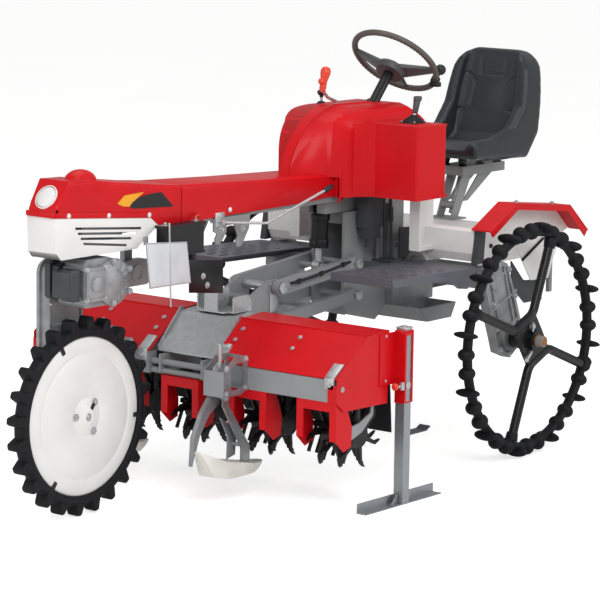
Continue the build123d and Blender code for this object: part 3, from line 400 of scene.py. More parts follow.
def bolts(name, places, direction, body="chassis", across_mm=12, head_mm=5, washer=True, material=ZINC):
    """Bolt heads at several places, as one piece."""
    form = bmesh.new()
    for place in places:
        bolt(form, place, direction, across_mm, head_mm, washer)
    piece(name, form, material, body)


def bent_tube(name, places, radius_mm, material, body="chassis"):
    """A tube or cable along a smooth line near these places."""
    data = bpy.data.curves.new(name, "CURVE")
    data.dimensions = "3D"
    data.bevel_depth = radius_mm * MM
    data.bevel_resolution = 4
    data.resolution_u = 8
    data.use_fill_caps = True
    line = data.splines.new("NURBS")
    line.points.add(len(places) - 1)
    for point, place in zip(line.points, places):
        point.co = (*place, 1)
    line.order_u = 3
    line.use_endpoint_u = True
    data.materials.append(material)
    tube = bpy.data.objects.new(name, data)
    bpy.context.scene.collection.objects.link(tube)
    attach(tube, body)


# Front wheel: a rubber ring with rounded knobs, on a dished white disc held by three clips
FRONT_HUB = at(0, 0, FRONT_HUB_Z)
KNOBS = 24
KNOB_PHASE = 5
KNOB_R = 314
KNOB_SIZE = (47, 58, 46)
CLIP_ANGLES = (65, -54.5, -173)
DISC_NUT_ANGLES = (127, 7, -120)
DISC_NUT_R = 58


def turned_to(hub, angle, radius_mm, y_mm=0):
    """The matrix of a place on a wheel: local X runs round it, Y across it and Z out from its hub."""
    turn = Matrix.Rotation(math.radians(90 - angle), 4, "Y")
    return Matrix.Translation(hub) @ turn @ Matrix.Translation((0, y_mm * MM, radius_mm * MM))


def make_front_wheel():
    """The front tyre and its disc, with nuts, clips and the end of the axle."""
    knobs = bmesh.new()
    for n in range(KNOBS):
        stand = turned_to(FRONT_HUB, n * 360 / KNOBS + KNOB_PHASE, KNOB_R)
        shaped_block(knobs, stand, KNOB_SIZE, outer=(0.5, 0.88))
    bmesh.ops.bevel(
        knobs, geom=knobs.edges[:], offset=8 * MM, affect="EDGES", segments=3, profile=0.5, material=-1
    )
    turned(knobs, FRONT_HUB, LEFT, [
        (270, -20), (276, -25), (290, -27), (302, -19), (307, -6), (307, 6), (302, 19), (290, 27),
        (276, 25), (270, 20),
    ], 96)
    tyre = piece("front_tyre_rubber", knobs, TYRE, "front_wheel", 50)
    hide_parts("front_tyre")

    disc = bmesh.new()
    turned(disc, FRONT_HUB, LEFT, [
        (0, 36), (24, 36), (28, 35), (34, 31.5), (60, 29.5), (65, 27), (69, 29), (130, 27), (206, 22.5),
        (211, 20), (215, 18.6), (219, 20.5), (224, 21.5), (262, 18), (269, 14), (272, 7), (268, 4),
        (262, 8), (200, 12), (60, 18), (42, -28), (0, -28),
    ], 128)
    pin(disc, 0, FRONT_HUB_Z, -100, -20, 20)
    dish = piece("front_wheel_dish", disc, WHITE, "front_wheel", 50)
    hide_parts("front_wheel_disc")

    clips = bmesh.new()
    for angle in CLIP_ANGLES:
        soften(clips, shaped_block(clips, turned_to(FRONT_HUB, angle, 262, 18.5), (16, 7, 34)), 2)
    soften(clips, shaped_block(clips, turned_to(FRONT_HUB, 126, 35, 31.5), (14, 6, 34)), 2)
    piece("front_wheel_clips", clips, BLACK_PLASTIC, "front_wheel")
    bolts("front_wheel_nuts", [
        turned_to(FRONT_HUB, angle, DISC_NUT_R, 30).translation for angle in DISC_NUT_ANGLES
    ], LEFT, "front_wheel", 14, 8)
    cap = bmesh.new()
    turned(cap, FRONT_HUB, LEFT, [
        (0, 41), (7, 41), (9, 39), (9, 37.5), (12, 37.5), (14, 36), (14, 33), (0, 33),
    ], 32)
    piece("front_axle_end", cap, ZINC, "front_wheel")


# Rear wheels: a round rubber ring with broad paddles and pairs of lobes
REAR_PADDLES = 12
PADDLE_PHASE = 9.5
TRACK_HALF = 600
# The angle past the paddle, the radius and the half sizes of a paddle and of the lobes after it
PADDLE = (0, 413, (13, 52, 22))
LOBES = ((10, 402, (24, 32, 31)), (20, 402, (24, 32, 31)))
SPOKE_Y = 609
SPOKE_TIPS = ((384, 152), (-116, 368))
SOCKET_SHARES = (0.90, 0.985)


def make_rear_wheel(side, name):
    """A rear tyre, and the parts at its hub."""
    body = "rear_wheel_" + name
    hub = at(REAR_AXLE, side * TRACK_HALF, REAR_HUB_Z)
    form = bmesh.new()
    for n in range(REAR_PADDLES):
        for turn, radius, half_sizes in (PADDLE, *LOBES):
            stand = turned_to(hub, n * 360 / REAR_PADDLES + PADDLE_PHASE + turn, radius)
            scale = Matrix.Diagonal((*(half * MM for half in half_sizes), 1))
            bmesh.ops.create_uvsphere(form, u_segments=20, v_segments=12, radius=1, matrix=stand @ scale)
    turned(form, hub, LEFT, [
        (383, -9), (387, -16), (396, -19), (405, -15), (410, -6), (410, 6), (405, 15), (396, 19),
        (387, 16), (383, 9),
    ], 120)
    tyre = piece("rear_tyre_rubber_" + name, form, TYRE, body, 60)
    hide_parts("rear_tyre_" + name)

    end = bmesh.new()
    turned(end, at(REAR_AXLE, side * 640, REAR_HUB_Z), (0, side, 0), [
        (0, 32), (14, 32), (19, 27), (19, 4), (24, 4), (24, -2), (0, -2),
    ], 40)
    piece("axle_cap_" + name, end, BRONZE, body)
    pins = bmesh.new()
    pin(pins, 1768, 490, side * 618, side * 636, 9)
    rod(pins, at(1768, side * 630, 470), at(1768, side * 630, 505), 4)
    rod(pins, at(1752, side * 616, 376), at(1728, side * 632, 368), 8)
    rod(pins, at(1740, side * 626, 366), at(1772, side * 626, 398), 4.5)
    piece("hub_pins_" + name, pins, ZINC, body)
    sockets = bmesh.new()
    for turn in (1, -1):
        for ahead, high in SPOKE_TIPS:
            inner, tip = (
                at(REAR_AXLE - turn * ahead * share, side * SPOKE_Y, REAR_HUB_Z + turn * high * share)
                for share in SOCKET_SHARES
            )
            rod(sockets, inner, tip, 21, 24)
    piece("spoke_sockets_" + name, sockets, TYRE, body)


# Seat: one moulded bucket of padded vinyl, with seams across its back and a rolled rim
SEAT_REAR = 2478
SEAT_TAPER_Z = 1180
SEAT_TAPER_HEIGHT = 250
SEAT_NARROWING = 0.17
SEAT_VOXEL = 6.5
CUSHION_TOP = 1150
# The middle of the padding of the back, as a height, and of the cushion, ahead of the seat's rear
BACK_PAD_Z = 1262
CUSHION_PAD_AHEAD = 330
PAD_RISE = 7
SEAM_DEPTH = 4.5
SEAM_HALF = 7
SEAT_SEAMS = [
    [(-64, 1392), (-60, 1338), (60, 1338), (66, 1392)],
    [(-126, 1338), (-92, 1322), (-76, 1300), (-84, 1206), (-132, 1196)],
    [(126, 1338), (92, 1322), (76, 1300), (84, 1206), (132, 1196)],
]


def seam_distance(y, z, line):
    """How far a point of the seat's back is from a seam."""
    nearest = 1000.0
    for (y0, z0), (y1, z1) in zip(line, line[1:]):
        run = Vector((y1 - y0, z1 - z0))
        off = Vector((y - y0, z - z0))
        share = max(0.0, min(1.0, off.dot(run) / run.length_squared))
        nearest = min(nearest, (off - run * share).length)
    return nearest


def dome(off, half):
    """A round rise that is 1 in the middle and 0 from this distance on."""
    return max(0.0, 1 - (off / half) ** 2)


def make_seat():
    """The seat, from the CAD bucket: remeshed, rounded, narrowed to its top, padded and seamed."""
    base = nodes["seat"].data.copy()
    form = bmesh.new()
    form.from_mesh(base)
    bmesh.ops.remove_doubles(form, verts=form.verts, dist=0.0002)
    form.to_mesh(base)
    form.free()
    seat = bpy.data.objects.new("seat_bucket", base)
    bpy.context.scene.collection.objects.link(seat)
    remesh = seat.modifiers.new("remesh", "REMESH")
    remesh.mode = "VOXEL"
    remesh.voxel_size = SEAT_VOXEL * MM
    bpy.context.view_layer.update()
    shaped = bpy.data.meshes.new_from_object(seat.evaluated_get(bpy.context.evaluated_depsgraph_get()))
    bpy.data.objects.remove(seat)
    form = bmesh.new()
    form.from_mesh(shaped)
    for _ in range(14):
        bmesh.ops.smooth_vert(
            form, verts=form.verts, factor=0.5, use_axis_x=True, use_axis_y=True, use_axis_z=True
        )
    form.normal_update()
    rear = at(SEAT_REAR, 0, 0).x
    for corner in form.verts:
        y, z = corner.co.y / MM, corner.co.z / MM
        rise = max(0.0, min(1.0, (z - SEAT_TAPER_Z) / SEAT_TAPER_HEIGHT))
        ahead = (corner.co.x - rear) / MM
        depth = 0.0
        if corner.normal.x > 0.55 and z > CUSHION_TOP and abs(y) < 140:
            depth += PAD_RISE * dome(y, 66) * dome(z - BACK_PAD_Z, 78)
            depth -= SEAM_DEPTH * dome(min(seam_distance(y, z, line) for line in SEAT_SEAMS), SEAM_HALF)
        if corner.normal.z > 0.6 and z < CUSHION_TOP and abs(y) < 130:
            depth += PAD_RISE * dome(y, 120) * dome(ahead - CUSHION_PAD_AHEAD, 130)
        corner.co += corner.normal * depth * MM
        corner.co.y *= 1 - SEAT_NARROWING * rise * rise
    form.normal_update()
    seat = piece("seat_bucket", form, VINYL, crease=80)
    soft = seat.modifiers.new("smooth", "SUBSURF")
    soft.levels = 1
    soft.render_levels = 1
    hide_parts("seat")

    piping = [
        at(2014, 0, 1048), at(2014, -150, 1048), at(2050, -186, 1040), at(2200, -187, 1034),
        at(2340, -186, 1040), at(2420, -170, 1080), at(2440, -120, 1100),
    ]
    mirrored = [Vector((p.x, -p.y, p.z)) for p in reversed(piping)]
    bent_tube("seat_lower_trim", mirrored[:-1] + piping, 3, BLACK_PLASTIC)
    mounts = bmesh.new()
    for back in (2140, 2375):
        for y in (40, -40):
            rod(mounts, at(back, y, 999), at(back, y, 1008), 19, 14)
            rod(mounts, at(back, y, 1008), at(back, y, 1026), 14, 19)
    piece("seat_rubber_mounts", mounts, BLACK_PLASTIC)
    damper = bmesh.new()
    rod(damper, at(2128, 0, 815), at(2190, 0, 958), 11)
    piece("seat_damper", damper, ZINC)


# Steering wheel: a grained rim with finger ripples, three flat spokes on a stepped boss, and a spinner
WHEEL_HUB = Vector((-0.646, 0, 1.398))
WHEEL_TILT = math.radians(42)
WHEEL_AXIS = Vector((-math.sin(WHEEL_TILT), 0, math.cos(WHEEL_TILT)))
WHEEL_DOWN = Vector((-math.cos(WHEEL_TILT), 0, -math.sin(WHEEL_TILT)))
RIM_R = 166
RIM_RISE = 38
RIM_SECTION_R = 11.8
RIM_SECTION_SIDES = 14
RIPPLES = 72
RIPPLE_DEPTH = 1.8
SPOKE_ANGLES = (15, 105, 195)
SPOKE_START = 34


def on_wheel(across, down, along):
    """A place in the steering wheel's own directions: to its left, down to the driver, along its axis."""
    return WHEEL_HUB + (Vector(LEFT) * across + WHEEL_DOWN * down + WHEEL_AXIS * along) * MM


def make_steering_wheel():
    """The steering wheel, its boss and its spinner knob."""
    form = bmesh.new()
    turns = [n * math.tau / RIM_SECTION_SIDES for n in range(RIM_SECTION_SIDES)]
    section = [(RIM_R + RIM_SECTION_R * math.cos(a), RIM_SECTION_R * math.sin(a)) for a in turns]
    middle = on_wheel(0, 0, RIM_RISE)
    turned(form, middle, WHEEL_AXIS, section, 2 * RIPPLES)
    form.normal_update()
    for corner in form.verts:
        local = corner.co - middle
        under = max(0.0, -corner.normal.dot(WHEEL_AXIS))
        angle = math.atan2(local.dot(WHEEL_DOWN), local.y)
        corner.co -= corner.normal * RIPPLE_DEPTH * MM * under * (0.5 + 0.5 * math.cos(RIPPLES * angle))
    rim = piece("steering_rim", form, RIM_PLASTIC, "steering_wheel", 60)
    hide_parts("steering_wheel")

    boss = bmesh.new()
    for degrees in SPOKE_ANGLES:
        angle = math.radians(degrees)
        out = Vector(LEFT) * math.cos(angle) + WHEEL_DOWN * math.sin(angle)
        run = (out * (RIM_R - SPOKE_START - 8) + WHEEL_AXIS * RIM_RISE) * MM
        across = WHEEL_AXIS.cross(out).normalized()
        normal = run.normalized().cross(across)
        turn = Matrix((across, normal, run.normalized())).transposed().to_4x4()
        stand = Matrix.Translation(WHEEL_HUB + out * SPOKE_START * MM + run / 2) @ turn
        spoke = shaped_block(boss, stand, (50, 14, run.length / MM), inner=(1.4, 1.5), outer=(0.62, 0.9))
        soften(boss, spoke, 4.5, 3)
    turned(boss, WHEEL_HUB, WHEEL_AXIS, [
        (0, 20), (26, 19), (34, 16), (38, 15), (54, 6), (58, -4), (52, -22), (0, -22),
    ], 48)
    turned(boss, WHEEL_HUB, WHEEL_AXIS, [(0, 24), (18, 23), (24, 21), (26, 17), (0, 17)], 40)
    piece("steering_boss", boss, GREY_PLASTIC, "steering_wheel", 40)

    knob = bmesh.new()
    foot = on_wheel(RIM_R * 0.8, RIM_R * 0.6, RIM_RISE)
    rod(knob, foot, foot + WHEEL_AXIS * 0.030, 7)
    turned(knob, foot + WHEEL_AXIS * 0.026, WHEEL_AXIS, [
        (0, 0), (9, 0), (11, 5), (17, 10), (20.5, 18), (20.5, 26), (16, 35), (9, 39.5), (0, 41),
    ], 32)
    turned(knob, foot, WHEEL_AXIS, [(6, 13), (14, 12), (17, 8), (17, -10), (14, -15), (6, -15)], 24)
    block(knob, foot + Vector((-0.012, -0.020, -0.026)), foot + Vector((0.012, 0.020, -0.008)), 3)
    piece("spinner_knob", knob, BLACK_PLASTIC, "steering_wheel", 40)

    boot = bmesh.new()
    turned(boot, WHEEL_HUB - WHEEL_AXIS * 0.20, WHEEL_AXIS, [
        (19, 40), (27, 38), (29, 30), (34, 26), (36, 14), (42, 9), (46, -10), (52, -30), (19, -30),
    ], 40)
    piece("column_boot", boot, BLACK_PLASTIC, crease=50)


# The folds of the gear lever's gaiter, from its foot up: half width, low and high
GAITER_FOLDS = ((28, 1238, 1247), (23, 1244, 1253), (17, 1250, 1259), (11, 1256, 1265))
GAITER_Y = 290


def make_levers():
    """The grips of the lift lever and the gear lever, the small knobs, and the gear lever's gaiter."""
    lift = bmesh.new()
    foot, top = at(1217, 60, 1348), at(1240, 61, 1436)
    turned(lift, foot, top - foot, [
        (0, 0), (8, 0), (11, 6), (12.5, 16), (12, 30), (12.5, 42), (16, 56), (18.5, 68), (18, 80),
        (13, 89), (0, 93),
    ], 40)
    ball(lift, at(1213, 61, 1386), 13)
    grip = piece("lift_lever_grip", lift, RED_PLASTIC, crease=60)
    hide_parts("lever_grips")

    dark = bmesh.new()
    turned(dark, at(1370, -60, 1310), UP, [
        (0, 28), (9, 27.5), (15, 24), (16, 17), (12, 9), (7, 6), (7, 0), (0, 0),
    ], 32)
    turned(dark, at(1370, -60, 1289), UP, [(5, 8), (9, 7), (14, 4), (17, 0), (5, 0)], 28)
    rod(dark, at(1097, 170, 1011), at(1142, 171, 1025), 10, 8.5, edge_mm=3)
    piece("lever_knobs", dark, BLACK_PLASTIC, crease=50)

    gear = bmesh.new()
    rod(gear, at(1471, GAITER_Y, 1270), at(1482, GAITER_Y, 1312), 10, 13, edge_mm=3)
    rod(gear, at(1481, GAITER_Y, 1308), at(1486, GAITER_Y, 1329), 13, 15, edge_mm=4)
    block(gear, at(1500, 279, 1313), at(1474, 301, 1331), 4, 3)
    piece("gear_lever_grip", gear, GREY_PLASTIC, crease=45)

    gaiter = bmesh.new()
    block(gaiter, at(1494, 258, 1233.2), at(1426, 322, 1240), 2.5)
    for step, (half, low, high) in enumerate(GAITER_FOLDS):
        back = 1460 + 2 * step
        block(gaiter, at(back + half, GAITER_Y - half, low), at(back - half, GAITER_Y + half, high), 3, 3)
    piece("gear_lever_gaiter", gaiter, BLACK_PLASTIC, crease=45)
    bolts("gaiter_screws", [
        at(back, y, 1240) for back in (1490, 1430) for y in (262, 318)
    ], UP, "chassis", 7, 3, False)


# Hood, skirt, beam cover and cowl: the pressed covers, narrower towards the nose than the solids
NOSE_HALF = 63
COVER_HALF = 100
SOLID_HALF = 150
HOOD_FRONT = -265
HOOD_REAR = 330
# A narrowed side moves back and down the camera's line, which keeps it where the photograph has it
SIGHT_BACK = 1.28
SIGHT_DOWN = 0.207
NOSE_REACH = 40
REACH_START = 100
SEAM_Z = 1046
SEAM_FALL = 43 / 435
# How much the hood's height over its seam is changed, at distances behind the front axle
CROWN = ((-265, 1.0), (-205, 1.55), (-160, 1.23), (-60, 0.89), (20, 0.79), (200, 0.87), (330, 1.0))
HOOD_CUTS = (-205, -160, -110, -60, -20, 20, 100, 200, 260)
LIP_FRONT = -264
LIP_REAR = 170
LIP_HEIGHT = 17
SIDE_BAND = (
    (64, 1050), (72, 1046), (80, 1042), (278, 1030), (284, 1032), (226, 1083), (220, 1085), (150, 1083),
    (104, 1076), (76, 1062),
)
SIDE_STRIPE = ((8, 1066), (40, 1090), (133, 1093), (104, 1078), (76, 1063), (64, 1051), (36, 1054))
SKIRT_PINS = ((-209, 8), (-31, 8), (160, 9))
BEAM_PIN = (587, 990)
HUMP_HALF_SIZES = (0.060, 0.044, 0.042)
COWL_CUTS = (1160, 1200, 1220, 1242, 1265, 1292)
COWL_TAPER_START = 1190
COWL_TAPER = 102
COWL_FRONT_SHARE = 0.70


def limited(value):
    """A value kept between 0 and 1."""
    return max(0.0, min(1.0, value))


def seam_z(back):
    """Height of the seam between hood and skirt."""
    return SEAM_Z - SEAM_FALL * (back - HOOD_FRONT)


def cover_place(back, y, z, proud=0.0):
    """A place on the covers, from its place on the solid; proud is how far it stands out of the side."""
    half = NOSE_HALF + (COVER_HALF - NOSE_HALF) * limited((back - HOOD_FRONT) / (HOOD_REAR - HOOD_FRONT))
    inward = SOLID_HALF - half
    side = math.copysign(proud, y) if abs(y) >= SOLID_HALF - 0.01 else 0.0
    ahead = NOSE_REACH * limited((REACH_START - back) / (REACH_START - HOOD_FRONT))
    return at(back + SIGHT_BACK * inward - ahead, y * half / SOLID_HALF + side, z - SIGHT_DOWN * inward)


def crowned(back, z):
    """A height on the hood, drawn to a steeper nose and a flatter top."""
    seam = seam_z(back)
    for (low, first), (high, last) in zip(CROWN, CROWN[1:]):
        if low <= back <= high:
            share = first + (last - first) * (back - low) / (high - low)
            return seam + max(0.0, z - seam) * share + min(0.0, z - seam)
    return z


def copy_of(name, cuts=()):
    """A merged copy of a CAD node's form, cut across at distances behind the front axle."""
    form = bmesh.new()
    form.from_mesh(nodes[name].data)
    bmesh.ops.remove_doubles(form, verts=form.verts, dist=0.00005)
    bmesh.ops.dissolve_limit(form, angle_limit=0.004, verts=form.verts, edges=form.edges)
    for back in cuts:
        whole = form.verts[:] + form.edges[:] + form.faces[:]
        bmesh.ops.bisect_plane(form, geom=whole, plane_co=at(back, 0, 0), plane_no=AHEAD)
    return form


def narrowed(name, new_name, material, cuts=()):
    """A cover's own form from its CAD node, drawn in to the covers' width."""
    form = copy_of(name, cuts)
    for corner in form.verts:
        back = (FRONT_AXLE_X - corner.co.x) / MM
        z = corner.co.z / MM
        corner.co = cover_place(back, corner.co.y / MM, crowned(back, z) if name == "hood" else z)
    soften(form, form.faces, 1.6)
    cover = piece(new_name, form, material, crease=30)
    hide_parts(name)


def side_shape(form, outline, side, proud, thick_mm=0.8):
    """A thin flat shape on the hood's side, from an outline in the solid's own places."""
    corners = [cover_place(back, side * SOLID_HALF, z, proud) for back, z in outline]
    return sheet(form, corners, side * thick_mm)


def span(side, near, far):
    """Two distances from the middle on one side, as Y values with the lower first."""
    return sorted((side * near, side * far))


def make_covers():
    """Hood, skirt, beam cover and cowl with their trim."""
    narrowed("hood", "hood_shell", RED, HOOD_CUTS)
    narrowed("hood_skirt", "skirt_shell", WHITE)
    narrowed("beam_cover", "beam_cover_shell", RED)

    lip = bmesh.new()
    front_z, rear_z = seam_z(LIP_FRONT), seam_z(LIP_REAR)
    outline = [
        (LIP_FRONT, front_z), (LIP_FRONT, front_z + LIP_HEIGHT), (LIP_REAR, rear_z + LIP_HEIGHT),
        (LIP_REAR, rear_z),
    ]
    for side, _ in SIDES:
        soften(lip, side_shape(lip, outline, side, 0.2, 2.4), 1.0)
    right, left = (cover_place(LIP_FRONT, y, front_z) for y in (-SOLID_HALF, SOLID_HALF))
    block(lip, right + Vector((-0.004, 0, 0)), left + Vector((0.007, 0, LIP_HEIGHT * MM)), 1.0)
    piece("hood_lip", lip, RED)

    hump = bmesh.new()
    centre = at(-11, 0, 1126)
    scale = Matrix.Diagonal((*HUMP_HALF_SIZES, 1))
    bmesh.ops.create_uvsphere(
        hump, u_segments=32, v_segments=20, radius=1, matrix=Matrix.Translation(centre) @ scale
    )
    for corner in hump.verts:
        if corner.co.x < centre.x:
            corner.co.x = centre.x + (corner.co.x - centre.x) * 1.2
    piece("fuel_cap_cover", hump, RED, crease=80)

    for side, tag in SIDES:
        band = bmesh.new()
        side_shape(band, SIDE_BAND, side, 0.9)
        piece("black_side_band_" + tag, band, BLACK_FILM)
        stripe = bmesh.new()
        side_shape(stripe, SIDE_STRIPE, side, 0.9)
        piece("yellow_side_stripe_" + tag, stripe, YELLOW_FILM)
        places = [(back, seam_z(back) + rise) for back, rise in SKIRT_PINS] + [BEAM_PIN]
        bolts("cover_pins_" + tag, [
            cover_place(back, side * SOLID_HALF, z, 2.4) for back, z in places
        ], (0, side, 0), "chassis", 9, 2.5, material=WHITE)

    badge = bmesh.new()
    nose = at(-169, 0, 1090)
    lean = (0.83, 0, 0.557)
    turned(badge, nose, lean, [(0, 3), (35, 3), (36.5, 1.5), (36.5, -6), (0, -6)], 56)
    turned(badge, nose, lean, [(39.5, 3), (42, 3), (43, 2), (43, -6), (39.5, -6)], 56)
    piece("plain_nose_disc", badge, WHITE, crease=50)

    cowl = copy_of("cowl", COWL_CUTS)
    for corner in cowl.verts:
        back = (FRONT_AXLE_X - corner.co.x) / MM
        share = limited((back - COWL_TAPER_START) / COWL_TAPER)
        share = share * share * (3 - 2 * share)
        corner.co.y *= COWL_FRONT_SHARE + (1 - COWL_FRONT_SHARE) * share
        if back < 1242.5 and corner.co.z < 1.0745:
            corner.co.z -= 0.020
    shell = piece("cowl_shell", cowl, RED, crease=30)
    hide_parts("cowl")
    panels = bmesh.new()
    for side, _ in SIDES:
        low, high = span(side, 97, 134)
        block(panels, at(1246, low, 969), at(1241, high, 1064), 1.2)
    piece("cowl_front_panels", panels, RED)

    lid = bmesh.new()
    block(lid, at(1526, 154, 1232), at(1354, 388, 1235.5), 1.5)
    plate(lid, [(1352, 1228), (1352, 1236), (1528, 1236), (1528, 1228)], 391, 393.5, 1)
    plate(lid, [(1346.5, 968), (1346.5, 982), (1533.5, 982), (1533.5, 968)], 391, 394.5, 1)
    piece("lever_box_lid", lid, RED)


# The hooked plates below the frame, and their pins: distance back, height and radius
HOOK_PLATE = (
    (572, 955), (770, 955), (764, 905), (724, 846), (700, 843), (692, 862), (704, 884), (684, 925),
    (640, 925), (640, 905), (622, 880), (600, 862), (582, 866), (580, 884), (592, 900), (572, 910),
)
HOOK_PINS = ((612, 912, 12), (728, 905, 13))
# The frame's cross tubes: distance behind the front axle, low and high
CROSS_TUBES = ((330, 950, 990), (1000, 950, 990), (1580, 912, 950))


def make_front_frame():
    """Engine, engine plate and frame in the covers' width, with what hangs from them."""
    engine = bmesh.new()
    block(engine, at(150, -52, 925), at(-90, 52, 1045), 8, 3)
    block(engine, at(120, -46, 1040), at(-60, 46, 1078), 8, 3)
    pin(engine, 60, 985, -56, 56, 50, 4)
    motor = piece("engine_block", engine, ENGINE_CAST)
    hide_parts("engine")

    tray = bmesh.new()
    block(tray, at(190, -50, 885), at(-100, 50, 890), 1)
    for side, _ in SIDES:
        block(tray, at(190, side * 50 - 3, 885), at(-100, side * 50 + 3, 930), 1)
    rod(tray, at(0, 0, 882), at(0, 0, 900), 44)
    under = piece("engine_tray", tray, GREY_STEEL)
    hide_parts("engine_plate")

    frame_form = bmesh.new()
    for side, _ in SIDES:
        low, high = span(side, 50, 90)
        block(frame_form, at(1330, low, 948), at(330, high, 996), 3)
        low, high = span(side, 18, 58)
        block(frame_form, at(345, low, 945), at(-60, high, 985), 3)
        block(frame_form, at(1602, low, 900), at(1250, high, 960), 3)
        plate(frame_form, HOOK_PLATE, *span(side, 90, 97))
        for back, z, radius in HOOK_PINS:
            pin(frame_form, back, z, side * 96, side * 98.5, radius, 0.5)
    for back, low, high in CROSS_TUBES:
        block(frame_form, at(back + 20, -88, low), at(back - 20, 88, high), 2)
    tubes = piece("frame_tubes", frame_form, GREY_STEEL)
    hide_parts("main_frame")
    dark = bmesh.new()
    plate(dark, [(412, 832), (594, 812), (596, 696), (414, 718)], 118, 121, 1)
    block(dark, at(450, 92, 826), at(430, 119, 952), 2)
    piece("front_black_plate", dark, BLACK_STEEL)
    bolts("black_plate_bolts", level_with(121, ((487, 768), (509, 734))), LEFT)
    label = bmesh.new()
    plate(label, [(158, 914), (361, 898), (383, 764), (178, 768)], 150, 151, 0.3)
    piece("blank_notice_face", label, PALE_FILM)
    bolts("hook_pins", [at(back, 98, z) for back, z, _ in HOOK_PINS], LEFT, "chassis", 14, 6)
    shaft = bmesh.new()
    pin(shaft, 600, 941, 60, 120, 8)
    block(shaft, at(625, 96, 925), at(575, 101, 975), 2)
    rod(shaft, at(276, 147, 975), at(280, 153, 690), 3, edge_mm=0.5)
    for back in (470, 300):
        block(shaft, at(back, 88, 951), at(back - 30, 120, 963), 1.5)
    piece("front_brackets", shaft, ZINC)
    bolts("battery_terminals", level_with(117, ((290, 962), (448, 962))), UP, "chassis", 11, 8)
    bent_tube("battery_lead", [
        at(448, 117, 970), at(448, 117, 978), at(470, 112, 980), at(486, 100, 972), at(500, 92, 962),
        at(520, 88, 955),
    ], 4, RED_PLASTIC)


# The round seat on the cast gear head, the head's bolts, and the rims down the leg
SHAFT_SEAT = (72, 792)
GEAR_HEAD_BOLTS = (
    (-74, 846), (12, 846), (-74, 746), (12, 746), (60, 862), (60, 722), (140, 830), (140, 754),
)
LEG_RIMS = (-86, 70)


def round_seat(angle, radius, y):
    """A place at an angle and radius round the cross shaft's seat."""
    back, z = SHAFT_SEAT
    return at(back + radius * math.cos(angle), y, z + radius * math.sin(angle))


def make_gear_head():
    """The cast gear head over the front wheel, with its cover, bolts and the rims of the leg."""
    form = bmesh.new()
    block(form, at(20, 78, 738), at(-82, 92, 854), 9, 4)
    block(form, at(10, 88, 748), at(-72, 101, 842), 7, 3)
    turned(form, at(-28, 100, 798), LEFT, [(0, 9), (18, 9), (24, 6), (27, 0), (27, -4), (0, -4)], 40)
    turned(form, at(72, 80, 792), LEFT, [
        (0, 13), (30, 13), (36, 9), (60, 9), (70, 5), (79, 2), (79, -6), (0, -6),
    ], 56)
    for n in range(7):
        angle = math.radians(-75 + 25 * n)
        rod(form, round_seat(angle, 40, 90), round_seat(angle, 74, 86), 5, 4, 10, 1)
    for back, z in GEAR_HEAD_BOLTS:
        pin(form, back, z, 74, 95, 10.5, 1.5)
    piece("gear_head_cover", form, CAST, "steering_leg", 40)
    bolts("gear_head_bolts", level_with(95, GEAR_HEAD_BOLTS), LEFT, "steering_leg", 11)

    cover = bmesh.new()
    block(cover, at(-92, 20, 744), at(-128, 84, 852), 8, 3)
    block(cover, at(-60, -12, 752), at(-132, 70, 846), 8, 3)
    piece("gear_head_side_cover", cover, DARK_STEEL, "steering_leg", 40)

    rims = bmesh.new()
    for back in LEG_RIMS:
        block(rims, at(back + 5, -66, 330), at(back - 5, -58, 830), 2.5, 3)
    block(rims, at(60, -66, 640), at(-76, -60, 652), 2)
    turned(rims, at(0, -64, FRONT_HUB_Z), LEFT, [
        (22, 12), (40, 12), (58, 7), (66, 0), (66, -4), (22, -4),
    ], 48)
    piece("leg_rims", rims, CAST, "steering_leg")
    bolts("leg_bolts", [
        at(back, -58, z) for back in LEG_RIMS for z in range(360, 811, 90)
    ], LEFT, "steering_leg", 10, washer=False)


# Weeding unit: the parking stands, the skids' height screws and the mast's pins
COVER_SLOPE = (0.608, 0, 0.794)
STAND_BACK = 850
STAND_Y = 712
STAND_FACE = 735
LOCK_Z = 416
SKID_Y = 260
SCREW_BACK = 414
SCREW_TURNS = 12
TAB_Y = (168, 655)
END_BOLTS = ((536, 440), (774, 436), (774, 590))
SKID_BOX_BOLTS = ((396, 480), (396, 392), (500, 402), (500, 500))
SKID_ARM_BOLTS = ((430, 372), (540, 150))
MAST_BACK = 937
# Height, radius and washer's radius of the mast's two pins
MAST_PINS = ((672, 15, 20), (555, 13, 17))


